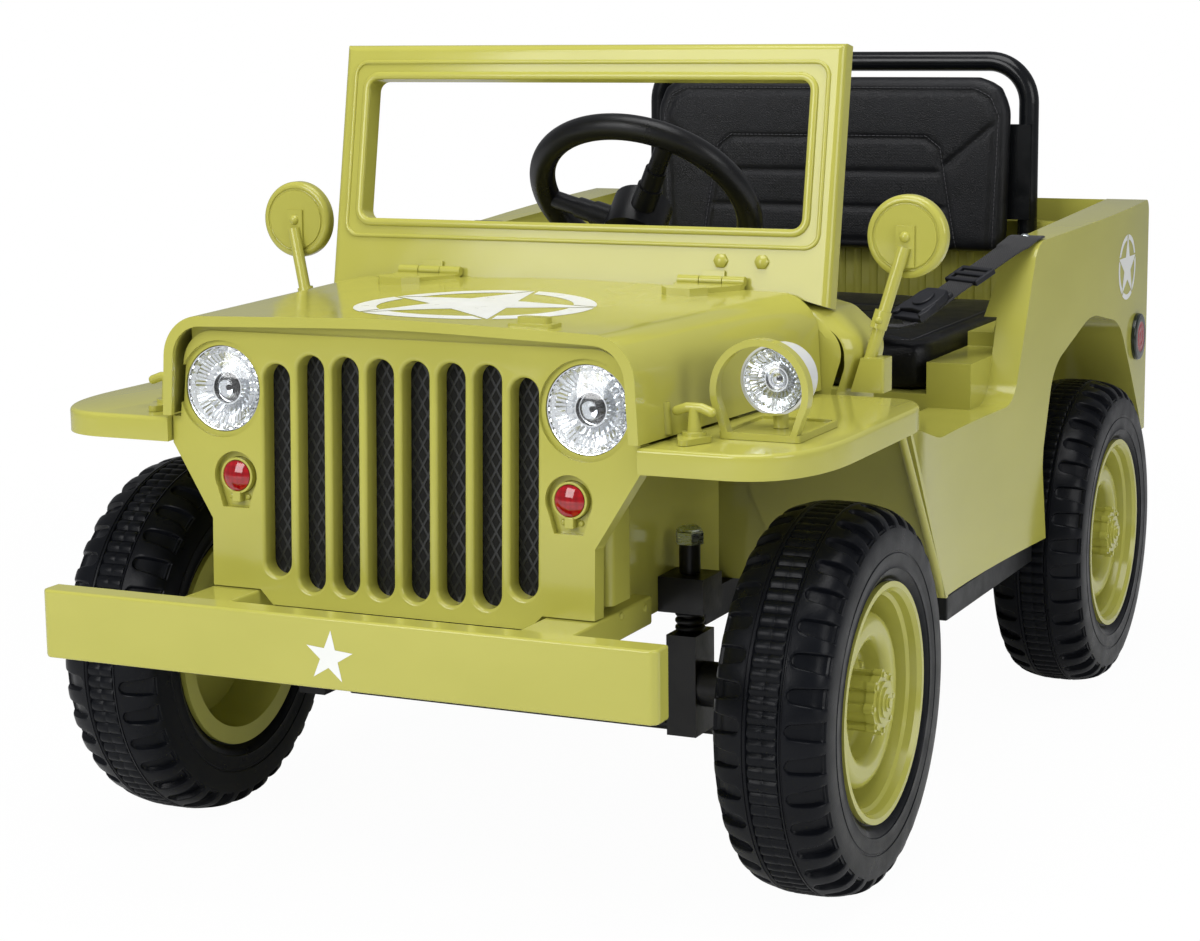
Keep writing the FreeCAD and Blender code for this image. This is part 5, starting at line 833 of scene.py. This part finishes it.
def cloth_blown(pad, cap):
    """Let cloth pressure fill a pad, and take over each move up to a cap in millimetres."""
    start = [vert.co.copy() for vert in pad.data.vertices]
    cloth = pad.modifiers.new("cloth", "CLOTH")
    for key, value in CLOTH.items():
        setattr(cloth.settings, key, value)
    cloth.settings.effector_weights.gravity = 0
    cloth.collision_settings.use_collision = False
    for number in range(1, CLOTH_FRAMES + 1):
        bpy.context.scene.frame_set(number)
    ready = pad.evaluated_get(bpy.context.evaluated_depsgraph_get())
    blown = [vert.co.copy() for vert in ready.data.vertices]
    pad.modifiers.clear()
    bpy.context.scene.frame_set(1)
    for vert, before, after in zip(pad.data.vertices, start, blown):
        move = after - before
        vert.co = before + move * min(1, cap * MM / max(move.length, 1e-9))


def blown_pad(name, outline, low, high, to_space, to_flat, seams, cap, top_limit, hold_below, in_panel):
    """Remesh a thin block, hold its seams and underside, fill it by cloth pressure and press its seams."""
    levels = [[to_space((*corner, height)) for corner in outline] for height in (low, high)]
    pad = linked(name, built(name, skin(levels, caps=(0, -1)), seat_skin, None))
    edge = pad.modifiers.new("round", "BEVEL")
    edge.width, edge.segments = 7 * MM, 4
    even = pad.modifiers.new("even", "REMESH")
    even.mode, even.voxel_size = "VOXEL", 5 * MM
    middle = (low + high) / 2
    frozen(pad)
    held = pad.vertex_groups.new(name="held")
    for vert in pad.data.vertices:
        u, v, w = to_flat(vert.co / MM)
        if w < hold_below or (w > middle and seam_gap(Vector((u, v)), seams) < SEAM_HELD):
            held.add([vert.index], 1.0, "REPLACE")
    cloth_blown(pad, cap)
    fine = pad.modifiers.new("fine", "SUBSURF")
    fine.levels = fine.render_levels = 1
    frozen(pad)
    for vert in pad.data.vertices:
        u, v, w = to_flat(vert.co / MM)
        if w > middle:
            gap = seam_gap(Vector((u, v)), seams)
            w = min(w, top_limit) - SEAM_DEPTH * math.exp(-((gap / SEAM_WIDTH) ** 2))
            vert.co = Vector(to_space((u, v, w))) * MM
    pad.data.shade_smooth()
    pad.data.materials.append(panel_skin)
    for face in pad.data.polygons:
        face.material_index = 1 if in_panel(*to_flat(face.center / MM)) else 0
    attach(pad, "car_body")
    return pad


print("cloth settings:", CLOTH)

# %% The seat's back
BACK_REAR = 428
BACK_OUTLINE = mirrored([(166, 376), (171, 390), (174, 505), (166, 527), (148, 535)])
BACK_SEAMS = [mirrored([(-158, 379), (-163, 500), (-156, 516), (-142, 523)]),
              mirrored([(-124, 376), (-108, 470), (-96, 479)])]
BACK_CHANNELS = [mirrored([(-half, z)]) for z, half in ((448, 111), (415, 117), (384, 122))]
BACK_CHANNELS += [[Vector((side * 112, 452)), Vector((side * 163, 494))] for side in (-1, 1)]


def back_to_space(flat):
    return (flat[0], BACK_REAR - flat[2], flat[1])


def back_to_flat(spot):
    return (spot[0], spot[2], BACK_REAR - spot[1])


def in_back_panel(x, z, w):
    return z < 478 and w > 12 and abs(x) < 124 - (z - 376) * 0.17


seat_back = blown_pad("seat_back_pad", BACK_OUTLINE, 0.3, 21.5, back_to_space, back_to_flat,
                      BACK_SEAMS + BACK_CHANNELS, 12, 31, 4, in_back_panel)
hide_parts("seat_back")
print("back faces:", len(seat_back.data.polygons))

# %% The seat's cushion
CUSHION_OUTLINE = mirrored([(192, 98), (199, 112), (199, 416), (190, 423)])
CUSHION_SEAMS = [mirrored([(-178, 414), (-182, 124), (-170, 116)]), mirrored([(-124, 412), (-112, 158)])]
CUSHION_CHANNELS = [mirrored([(-117, y)]) for y in (205, 252, 299, 346)]
CUSHION_CHANNELS += [[Vector((side * 114, 160)), Vector((side * 176, 120))] for side in (-1, 1)]


def in_cushion_panel(x, y, z):
    return 158 < y < 412 and z > 320 and abs(x) < 112 + (y - 158) * 0.047


cushion = blown_pad("seat_cushion_pad", CUSHION_OUTLINE, 293, 331, tuple, tuple, CUSHION_SEAMS + CUSHION_CHANNELS,
                    14, 341, 300, in_cushion_panel)
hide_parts("seat_cushion")
print("cushion faces:", len(cushion.data.polygons))

# %% Stitches along the seams
STITCH_PITCH, STITCH_LENGTH, STITCH_RADIUS = 4.2 * MM, 3.0 * MM, 0.32 * MM
BESIDE_SEAM = 2.6


def stitch_tree():
    """Short thread stitches along an edge line, turned with the line."""
    inputs = [("Pitch", "Float"), ("Length", "Float"), ("Thread", "Float"), ("Finish", "Material")]
    tree, given = new_tree("stitch a line", inputs)
    line = add_node(tree, "GeometryNodeMeshToCurve", {0: given.outputs["Mesh"]}).outputs[0]
    sockets = {"Curve": line, "Length": given.outputs["Pitch"]}
    even = add_node(tree, "GeometryNodeCurveToPoints", sockets, mode="LENGTH")
    sockets = {"Vertices": 6, "Radius": given.outputs["Thread"], "Depth": given.outputs["Length"]}
    bar = add_node(tree, "GeometryNodeMeshCylinder", sockets).outputs[0]
    sockets = {"Points": even.outputs[0], "Instance": bar, "Rotation": even.outputs["Rotation"]}
    copies = add_node(tree, "GeometryNodeInstanceOnPoints", sockets).outputs[0]
    return end_tree(tree, copies, given.outputs["Finish"], 60)


def direction(line, k):
    """Which way a line runs at one of its points."""
    return (line[min(k + 1, len(line) - 1)] - line[max(k - 1, 0)]).normalized()


def stitched(name, lines, to_space, pad, away):
    """Run stitches beside each seam, laid on the pad's real surface."""
    surface = BVHTree.FromObject(pad, bpy.context.evaluated_depsgraph_get())
    points, edges = [], []
    for line in lines:
        dense = []
        for a, b in zip(line, line[1:]):
            steps = max(int((b - a).length / 3), 1)
            dense += [a.lerp(b, k / steps) for k in range(steps)]
        dense.append(line[-1])
        edges += [(len(points) + k, len(points) + k + 1) for k in range(len(dense) - 1)]
        for k, flat in enumerate(dense):
            run = direction(dense, k)
            high = Vector(to_space((*(flat + Vector((-run.y, run.x)) * BESIDE_SEAM), 400))) * MM
            points.append((surface.ray_cast(high, -away)[0] or high) + away * 0.0002)
    mesh = bpy.data.meshes.new(name)
    mesh.from_pydata(points, edges, [])
    grown(name, STITCH, mesh, "car_body", pitch=STITCH_PITCH, length=STITCH_LENGTH, thread=STITCH_RADIUS,
          finish=thread)


STITCH = stitch_tree()
stitched("back_stitches", BACK_SEAMS, back_to_space, seat_back, Vector((0, -1, 0)))
stitched("cushion_stitches", CUSHION_SEAMS, tuple, cushion, Vector((0, 0, 1)))
print("stitches done")

# %% [markdown]
# The lap belt is polyester webbing, thin and flat, that comes over the wall's top, runs down to a
# side-release buckle and lies across the seat. It is a ribbon swept along the CAD belt's own line with a
# UV map, so that the weave follows the strap. The slider and the buckle are glass-filled nylon: flat
# outlines given a thickness and rounded, because that is how such small mouldings are drawn.

# %% Webbing that follows the strap
BELT_HALF_WIDTH, BELT_HALF_THICK = 15, 1.0
DIP = Vector((188, 76, 348))
BELT_HALF_LINE = [Vector((252, 204, 410.6)), Vector((252, 192, 410.1)), Vector((247, 170, 403.2)),
                  DIP + Vector((24, 38, 24)), DIP, Vector((150, 110, 342.1)), Vector((108, 122, 339.6))]
SELVEDGE = [(0.97, 0.7), (0.9, 1), (0, 1), (-0.9, 1), (-0.97, 0.7), (-1, 0)]
STRAP_SECTION = SELVEDGE + [(-x, -y) for x, y in SELVEDGE]


def webbing_finish():
    finish, tree, shader = new_finish("belt webbing", (0.008, 0.008, 0.009), 0.72, Sheen_Weight=0.12)
    place = add_node(tree, "ShaderNodeUVMap", uv_map="strap").outputs[0]
    slant = add_node(tree, "ShaderNodeMapping", {"Vector": place, "Rotation": (0, 0, 0.62)}).outputs[0]
    sockets = {"Vector": slant, "Scale": 210.0, "Distortion": 0.4}
    ribs = add_node(tree, "ShaderNodeTexWave", sockets).outputs[1]
    steer(tree, shader, two_tone(tree, ribs, (0.005, 0.005, 0.006), (0.014, 0.014, 0.016)))
    bumped(tree, shader, ribs, 0.7, 0.0004)
    return finish


def swept_strap(name, line):
    """A flat ribbon along a line with rounded selvedges and a UV map in metres."""
    fine = [a.lerp(b, k / 6) for a, b in zip(line, line[1:]) for k in range(6)] + [line[-1]]
    rows, spots, length = [], [], 0
    for i, point in enumerate(fine):
        run = direction(fine, i)
        across = Vector((0, 0, 1)).cross(run).normalized()
        over = run.cross(across).normalized()
        length += (point - fine[max(i - 1, 0)]).length
        rows.append([point + across * wide * BELT_HALF_WIDTH + over * high * BELT_HALF_THICK
                     for wide, high in STRAP_SECTION])
        spots += [(length * MM, wide * BELT_HALF_WIDTH * MM) for wide, high in STRAP_SECTION]
    mesh = built(name, skin(rows, caps=(0, -1)), webbing_finish(), None)
    layer = mesh.uv_layers.new(name="strap")
    for loop in mesh.loops:
        layer.data[loop.index].uv = spots[loop.vertex_index]
    piece = linked(name, mesh)
    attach(piece, "car_body")
    return piece


strap = swept_strap("belt_webbing", mirrored(BELT_HALF_LINE))
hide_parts("seat_belt")
print("strap faces:", len(strap.data.polygons))

# %% Slider and buckle
nylon = dark_plastic("buckle nylon", (0.010, 0.0105, 0.013), 0.38, 800, 0.0002)


def moulding(name, parts, place, finish, round_by):
    """Flat outlines with a thickness each, rounded and set in a local frame; millimetres."""
    mesh = bpy.data.meshes.new(name)
    points, faces = joined([skin([[(x, y, z) for x, y in outline] for z in heights], caps=(0, 1))
                            for outline, *heights in parts])
    mesh.from_pydata([place @ (Vector(point) * MM) for point in points], [], faces)
    shape = bmesh.new()
    shape.from_mesh(mesh)
    bmesh.ops.recalc_face_normals(shape, faces=shape.faces)
    shape.to_mesh(mesh)
    shape.free()
    mesh.shade_smooth()
    piece = linked(name, mesh)
    edge = piece.modifiers.new("round", "BEVEL")
    edge.width, edge.segments, edge.harden_normals = round_by * MM, 3, True
    frozen(piece).materials.clear()
    piece.data.materials.append(finish)
    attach(piece, "car_body")
    return piece


def local_frame(place, run, up=(0, 0, 1)):
    """A matrix with its X along a run and its Z as near to up as can be; place in millimetres."""
    run = Vector(run).normalized()
    side = Vector(up).cross(run).normalized()
    turn = Matrix((run, side, run.cross(side))).transposed().to_4x4()
    return Matrix.Translation(Vector(place) * MM) @ turn


def oval(x, y, half_long, half_wide, count=20, power=1.0):
    """A rounded outline round a centre; a power below one squares it."""
    return [(x + half_long * math.copysign(abs(c) ** power, c), y + half_wide * math.copysign(abs(s) ** power, s))
            for c, s in circle(count)]


def bar(x0, x1, y0, y1):
    return [(x0, y0), (x1, y0), (x1, y1), (x0, y1)]


BELT_KNEE = BELT_HALF_LINE[3]
belt_run, slide_run = BELT_KNEE - DIP, BELT_HALF_LINE[2] - BELT_KNEE
socket = [(8, -14), (20, -16.5), (33, -15.5), (40, -12), (41, 0), (40, 12), (33, 15.5), (20, 16.5), (8, 14), (10, 0)]
prong = [(2, -17), (9, -19.2), (19, -18.6), (24, -16.2), (21, -14.6), (14, -14.4), (7, -12.6), (4, -13)]
buckle_parts = [(socket, 1.2, 8.6), (prong, 1.6, 8.2), ([(x, -y) for x, y in reversed(prong)], 1.6, 8.2),
                (oval(24, 0, 9.5, 8.5, 20, 0.8), 8.0, 10.4), (bar(1.5, 9, -17.5, 17.5), 1.2, 5.4),
                (bar(38, 43, -13.5, 13.5), 0.8, 4.8)]
buckle = moulding("buckle_body", buckle_parts, local_frame(DIP + belt_run * 0.06, belt_run), nylon, 1.1)
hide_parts("belt_buckle")
slide_parts = [(bar(-11, -7, -19, 19), -1.6, 3.0), (bar(7, 11, -19, 19), -1.6, 3.0), (bar(-2, 2, -19, 19), 1.2, 3.4),
               (bar(-11, 11, -19.5, -15.8), -1.6, 3.0), (bar(-11, 11, 15.8, 19.5), -1.6, 3.0)]
slider = moulding("belt_slider", slide_parts, local_frame(BELT_KNEE + slide_run * 0.36, slide_run), nylon, 0.9)
print("buckle and slider:", len(buckle.data.polygons), len(slider.data.polygons))

# %% [markdown]
# Small screws and bolts hold everything together. They are all one shape, a shallow dome on a rim, so a
# short function sets many of them on one body as a single piece. The five rim bolts and the bolts round
# each hub come from the tree that made the tyres, and the row tree lays the vertical ribs of the panel
# behind the seat.

# %% Screws, rim bolts and ribs
DOME_PROFILE = [(1, 0), (1, 0.35), (0.93, 0.6), (0.7, 0.86), (0.4, 0.97), (0.02, 1.0)]
RIB_STEP, RIB_COUNT, FIRST_RIB = 0.016, 23, -176
BOLTS = (("rim_bolts", 65, 5, 3.2, 10), ("hub_bolts", 34, 6, 2.8, 4))


def domes(name, spots, finish, body):
    """Small round heads, each given as place, direction, radius and height; millimetres."""
    heads = []
    for place, way, radius, height in spots:
        turn = Vector((0, 0, 1)).rotation_difference(Vector(way).normalized()).to_matrix()
        heads.append(skin([[Vector(place) + turn @ Vector((x, y, rise * height))
                            for x, y in circle(16, share * radius)] for share, rise in DOME_PROFILE]))
    return built(name, joined(heads), finish, body)


def row_tree():
    inputs = [("Count", "Int"), ("Step", "Vector"), ("Finish", "Material")]
    tree, given = new_tree("repeat in a row", inputs)
    points = add_node(tree, "GeometryNodePoints", {"Count": given.outputs["Count"]}).outputs[0]
    sockets = {0: given.outputs["Step"], "Scale": add_node(tree, "GeometryNodeInputIndex").outputs[0]}
    offset = add_node(tree, "ShaderNodeVectorMath", sockets, operation="SCALE").outputs[0]
    laid = add_node(tree, "GeometryNodeSetPosition", {0: points, "Position": offset}).outputs[0]
    copies = add_node(tree, "GeometryNodeInstanceOnPoints", {"Points": laid, "Instance": given.outputs["Mesh"]})
    return end_tree(tree, copies.outputs[0], given.outputs["Finish"])


panel = hit_from("tub", (0, 400, 352), (0, 1, 0)).y
arch = circle(7, 1.0, math.pi * 7 / 6)
rib = built("seat_panel_rib", skin([[(FIRST_RIB + 4.2 * x, panel + 0.4 - 3.0 * y, z) for x, y in arch]
                                    for z in (296, 372)], closed=False), None, None)
grown("seat_panel_ribs", row_tree(), rib, "car_body", count=RIB_COUNT, step=(RIB_STEP, 0, 0), finish=olive)
print("panel behind the seat at", round(panel, 1))

heads = []
for name, reach, count, radius, high in BOLTS:
    seat = hit_from("rim_front_left", (330, FRONT_AXLE / MM + reach, AXLE_HEIGHT / MM), (-1, 0, 0)).x - TRACK / MM
    heads.append((name, domes("bolt", [((seat - 0.2, 0, reach), (1, 0, 0), radius, high)], None, None), count))
    print(name, "stand at", round(seat, 2))
for wheel in WHEELS:
    for name, head, count in heads:
        on_wheel(name, wheel, head, count, wheel_olive)

# %% [markdown]
# The nuts on the two kingpins are zinc-plated steel, the only bright metal on the car apart from a rivet
# that holds the belt. Small painted screws sit above the marker lamps and on the sides of the grille
# panel, and a short post stands on the panel between each pair above a lamp.

# %% Zinc nuts, screws and the marker lamps' posts
KINGPIN = (150, -275)
NUT_CIRCLE, NUT_LOW, NUT_HIGH = 10.4, 234.9, 244.4
MARKER_X, MARKER_Z = 127, 271


def nut(name, centre, body):
    """A hexagon nut with a chamfered crown and a round dome on top; millimetres."""
    def level_ring(count, reach, z):
        return [(centre[0] + x, centre[1] + y, z) for x, y in circle(count, reach)]

    flanks = ((1, NUT_LOW), (1, NUT_HIGH - 1.4), (0.9, NUT_HIGH))
    prism = [level_ring(6, NUT_CIRCLE * share, z) for share, z in flanks]
    polars = [math.pi / 8 * row for row in range(5)]
    crown = [level_ring(20, NUT_CIRCLE * 0.84 * math.cos(polar), NUT_HIGH - 0.3 + 3.6 * math.sin(polar))
             for polar in polars]
    built(name, joined([skin(prism, caps=(0, -1)), skin(crown)]), zinc, body, smooth=False)


screws = []
for side, sign in SIDES:
    nut("kingpin_nut_" + side, (KINGPIN[0] * sign, KINGPIN[1]), "knuckle_" + side)
    for reach in (-6.5, 6.5):
        spot = hit_from("grille_panel", (MARKER_X * sign + reach, -440, 273.2), (0, 1, 0))
        screws.append((spot, (0, -1, 0.04), 2.0, 1.6))
    screws += [((148.1 * sign, y, z), (sign, 0, 0), 2.6, 1.6) for y, z in ((-386.4, 206.8), (-347.6, 203.8))]
    spot = hit_from("grille_panel", (MARKER_X * sign, -440, MARKER_Z), (0, 1, 0))
    place = local_frame((MARKER_X * sign, spot.y, MARKER_Z), (1, 0, 0), (0, -1, 0.04))
    moulding("marker_post_" + side, [(bar(-3.2, 3.2, -1.0, 6.5), -4, 6)], place, olive, 0.7)
domes("body_screws", screws, olive, "car_body")
domes("belt_rivet", [((252, 197, 411.8), (0.1, -0.1, 1), 3.4, 1.4)], zinc, "car_body")
print("nuts, posts and", len(screws), "screws done")

# %% [markdown]
# The photograph doesn't show the back, the mirrors' glass or the face of the dash, so these follow what
# such cars usually have: a drop-gate frame on the rear wall with two latches, silver film in the mirrors,
# and four knobs on the dash. They are kept plain. In the local frame used here Y runs down, so the gate's
# foot has the larger number. The foot ends 16 mm below the rear wall, which is a flaw of this model.

# %% The rear wall, the mirrors and the dash
REARWARD = ((1, 0, 0), (0, 1, 0))
GATE_HALF, GATE_TOP, GATE_FOOT, GATE_LINE = 222, -77, 103, 6
MIRROR_X, MIRROR_Z, FILM_RADIUS = 255.3, 438, 25.5
KNOB_Z = 366
KNOBS = ((-64, 7), (-40, 7), (64, 9), (96, 6))

rear_face = hit_from("tub", (0, 600, 300), (0, -1, 0)).y
gate_bars = [bar(-GATE_HALF, GATE_HALF, GATE_TOP, GATE_TOP + GATE_LINE),
             bar(-GATE_HALF, GATE_HALF, GATE_FOOT - GATE_LINE, GATE_FOOT),
             bar(-GATE_HALF, GATE_LINE - GATE_HALF, GATE_TOP, GATE_FOOT),
             bar(GATE_HALF - GATE_LINE, GATE_HALF, GATE_TOP, GATE_FOOT)]
gate = [(outline, -1, 1.6) for outline in gate_bars]
gate += [(bar(x - 4, x + 4, -58, 84), -1, 1.2) for x in (-110, 110)]
moulding("rear_gate_frame", gate, local_frame((0, rear_face, 292), *REARWARD), olive, 0.9)
silver = metal("mirror film", (0.80, 0.82, 0.84), 0.10)
for side, sign in SIDES:
    latch = [(oval(0, 0, 15, 8, 20, 0.7), -0.5, 2.4), (oval(0, 0, 9, 3.6, 16, 0.8), 2, 4.6)]
    moulding("rear_latch_" + side, latch, local_frame((232 * sign, rear_face, 372), *REARWARD), olive, 0.8)
    back = hit_from("mirror_" + side, (MIRROR_X * sign, 20, MIRROR_Z), (0, -1, 0)).y
    film = [(oval(0, 0, FILM_RADIUS, FILM_RADIUS, 40), -0.5, 0.5)]
    moulding("mirror_glass_" + side, film, local_frame((MIRROR_X * sign, back, MIRROR_Z), *REARWARD), silver, 0.3)
for number, (x, radius) in enumerate(KNOBS):
    face = hit_from("dashboard", (x, 40, KNOB_Z), (0, -1, 0)).y
    knob = [(oval(0, 0, radius + 2.2, radius + 2.2, 28), -0.6, 1.2), (oval(0, 0, radius, radius, 28), 1, 7.5),
            (bar(-1.1, 1.1, -radius * 0.8, radius * 0.8), 7, 8.6)]
    moulding("dash_knob_" + str(number), knob, local_frame((x, face, KNOB_Z), *REARWARD), gloss_black, 0.5)
print("rear wall at", round(rear_face, 1), "and", len(KNOBS), "knobs")

# %% [markdown]
# The windshield frame carries a round bead along its opening and a finer one further out, which makes the
# flat field between them look sunk. A bead is one section carried round a rounded rectangle, so a single
# function makes both, and it lies on the frame's lean. Each wheel housing gets a cap over its crown, which
# closes a narrow slit that the CAD shell has there.

# %% Beads on the windshield frame, and caps over the wheel housings
SCREEN_LEAN = math.radians(10.4)
SCREEN_Z = 496
BEAD_SECTION = [(0, 0.55), (0.16, 0.9), (0.5, 1), (0.84, 0.9), (1, 0.55)]
CORNERS = ((1, 1), (-1, 1), (-1, -1), (1, -1))
CORNER_STEPS = 7


def bead(name, half_x, half_y, corner, width, height, place):
    """A raised bead round a rounded rectangle, in a local frame; millimetres."""
    section = [(0, -0.5)] + [(width * out, height * rise) for out, rise in BEAD_SECTION] + [(width, -0.5)]
    rows = []
    for k in range(4 * CORNER_STEPS):
        quarter, step = divmod(k, CORNER_STEPS)
        angle = math.radians(90 * quarter + 15 * step)
        x, y = CORNERS[quarter][0] * (half_x - corner), CORNERS[quarter][1] * (half_y - corner)
        rows.append([(x + (corner + out) * math.cos(angle), y + (corner + out) * math.sin(angle), rise)
                     for out, rise in section])
    points, faces = skin(rows + rows[:1], closed=False)
    built(name, ([place @ (Vector(point) * MM) / MM for point in points], faces), olive, "car_body")


screen_y = hit_from("windshield_frame", (190, -400, SCREEN_Z), (0, 1, 0)).y
screen = local_frame((0, screen_y, SCREEN_Z), (1, 0, 0), (0, -math.cos(SCREEN_LEAN), math.sin(SCREEN_LEAN)))
bead("screen_bead_inner", 183.2, 54.2, 8, 5.6, 2.4, screen)
bead("screen_bead_outer", 194.6, 66.0, 9, 3.0, 1.7, screen)
for side, sign in SIDES:
    cap = [([(-12, -20), (-9, -23), (13, -23), (13, 23), (-9, 23), (-12, 20)], -0.6, 3.4)]
    moulding("housing_cap_" + side, cap, local_frame((215.6 * sign, 325, 330), (sign, 0, 0)), olive, 1.2)
print("windshield's face at", round(screen_y, 1))

# %% [markdown]
# The grille panel ends in a small return flange that nearly touches the bonnet's underside. Without it
# a dark slit would run across the front. The flange is fitted by measuring: at each place a ray finds
# the bonnet above and the panel below, and the strip fills the gap but for the running clearance.

# %% The flange on top of the grille panel
LIP_CLEARANCE, LIP_ROUND = 1.2, 0.8
LIP_Y, FLANGE_FRONT, FLANGE_REAR = -411, -414.5, -408
strip, gaps = [], []
for number in range(-30, 31):
    x = number * 6.0
    roof = hit_from("hood", (x, LIP_Y, 345), (0, 0, 1))
    crown = hit_from("grille_panel", (x, LIP_Y, roof.z - 0.3), (0, 0, -1)) if roof else None
    if crown and 1.5 < roof.z - crown.z < 14:
        gaps.append(round(roof.z - crown.z, 1))
        foot, top = crown.z - 0.6, roof.z - LIP_CLEARANCE
        profile = [(FLANGE_FRONT, foot), (FLANGE_FRONT, top - LIP_ROUND), (FLANGE_FRONT + LIP_ROUND, top),
                   (FLANGE_REAR - LIP_ROUND, top), (FLANGE_REAR, top - LIP_ROUND), (FLANGE_REAR, foot)]
        strip.append([(x, y, z) for y, z in profile])
built("grille_flange", skin(strip, caps=(0, -1)), olive, "car_body", smooth=False)
print("gap under the bonnet's lip:", gaps[::6], "flange rows:", len(strip))

# %% [markdown]
# Each CAD node that shows gets the finish of its real material. The list reads like a parts list by
# colour, and the check at its end makes sure that no node is left with the plain packed colour.

# %% Put the finishes on the CAD nodes
FINISHES = {
    olive: """tub grille_panel fender_left fender_right cowl windshield_frame hood engine_bay bumper
        lamp_guard hood_hooks hood_hinge_mounts mirror_left mirror_right marker_bezels""",
    wheel_olive: "rim_front_left rim_front_right rim_rear_left rim_rear_right",
    grip_black: "steering_wheel dashboard",
    gloss_black: "gearboxes",
    mesh_black: "grille_mesh",
    rear_reflector: "side_reflectors",
    sill_black: "sills battery",
    hoop_black: "roll_hoop",
    steel_black: "chassis_frame front_axle_beam knuckle_left knuckle_right coil_springs tie_rod rear_axle",
    clear_acrylic: "headlamp_lenses fender_lamp_lens",
    lamp_housing: "fender_lamp",
    red_finish: "marker_lamps",
}
dressed = {"seat_cushion", "seat_back", "seat_belt", "belt_buckle", "headlamps"}
dressed |= {"tyre_" + wheel for wheel in WHEELS}
for finish, names in FINISHES.items():
    for name in names.split():
        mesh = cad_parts[name].data
        mesh.materials.clear()
        mesh.materials.append(finish)
        dressed.add(name)
print("without a finish:", sorted(set(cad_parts) - dressed))

# %% [markdown]
# The photo is a studio shot on white: a broad soft light from above and in front, a second from the
# car's left side, and no hard shadow. Three area lamps and a pale world do that at a level where a
# colour renders about as it is written. World and floor look white to the camera, and only a little of
# that shows in reflections, so the black pieces stay black and the floor still has a soft shadow.

# %% The studio
FLOOR_GLOW = 0.975
FLOOR_REACH = 14
MIRROR_SHARE = 0.08
SKY_TINT, SKY_STRENGTH = (0.93, 0.95, 1.0, 1), 0.24
WHITE = {"Color": (1, 1, 1, 1), "Strength": 1.0}


def area_lamp(name, place, aim, size, power):
    """A square soft lamp that looks at a point."""
    lamp = linked(name, bpy.data.lights.new(name, "AREA"))
    lamp.data.shape, lamp.data.size, lamp.data.energy = "SQUARE", size, power
    lamp.location = place
    lamp.rotation_euler = (Vector(aim) - Vector(place)).to_track_quat("-Z", "Y").to_euler()


def seen_white(tree):
    """One where the camera or glass looks, a share where a glossy face does, otherwise nought."""
    path = add_node(tree, "ShaderNodeLightPath").outputs
    mirror = maths(tree, "MULTIPLY", path["Is Glossy Ray"], MIRROR_SHARE)
    return maths(tree, "MAXIMUM", maths(tree, "MAXIMUM", path["Is Camera Ray"], mirror), path["Is Transmission Ray"])


def paper_finish():
    """White paper that glows for the camera, fully so from 1.6 m outwards."""
    finish, tree, shader = new_finish("paper floor", (0.90, 0.90, 0.90), 0.85)
    steer(tree, shader, two_tone(tree, grain(tree, 3, 2), (0.89, 0.89, 0.89), (0.92, 0.92, 0.92)))
    glow = add_node(tree, "ShaderNodeEmission", WHITE).outputs[0]
    away = add_node(tree, "ShaderNodeVectorMath", {0: own_place(tree)}, operation="LENGTH").outputs["Value"]
    shine = spread(tree, away, FLOOR_GLOW, 1.0, 0.7, 1.6)
    sockets = {0: maths(tree, "MULTIPLY", seen_white(tree), shine), 1: shader.outputs[0], 2: glow}
    blend = add_node(tree, "ShaderNodeMixShader", sockets)
    tree.links.new(blend.outputs[0], tree.nodes["Material Output"].inputs[0])
    return finish


area_lamp("overhead softbox", (0.2, -0.5, 2.6), (0, 0, 0.3), 1.8, 49)
area_lamp("front softbox", (-0.7, -2.7, 1.4), (0, -0.3, 0.25), 1.5, 44)
area_lamp("left softbox", (2.6, -0.8, 1.2), (0.2, 0, 0.3), 1.3, 21)

world = bpy.data.worlds.new("studio")
bpy.context.scene.world = world
world.use_nodes = True
sky = world.node_tree
lit = sky.nodes["Background"]
lit.inputs[0].default_value, lit.inputs[1].default_value = SKY_TINT, SKY_STRENGTH
white = add_node(sky, "ShaderNodeBackground", WHITE)
mixed = add_node(sky, "ShaderNodeMixShader", {0: seen_white(sky), 1: lit.outputs[0], 2: white.outputs[0]})
sky.links.new(mixed.outputs[0], sky.nodes["World Output"].inputs[0])

floor_mesh = bpy.data.meshes.new("floor")
floor_mesh.from_pydata([(FLOOR_REACH * x, FLOOR_REACH * y, 0) for x, y in CORNERS], [], [(0, 1, 2, 3)])
floor_mesh.materials.append(paper_finish())
floor = linked("floor", floor_mesh)
floor.location.z = -0.0005
bpy.context.scene.view_settings.view_transform = "Standard"
print("studio ready")
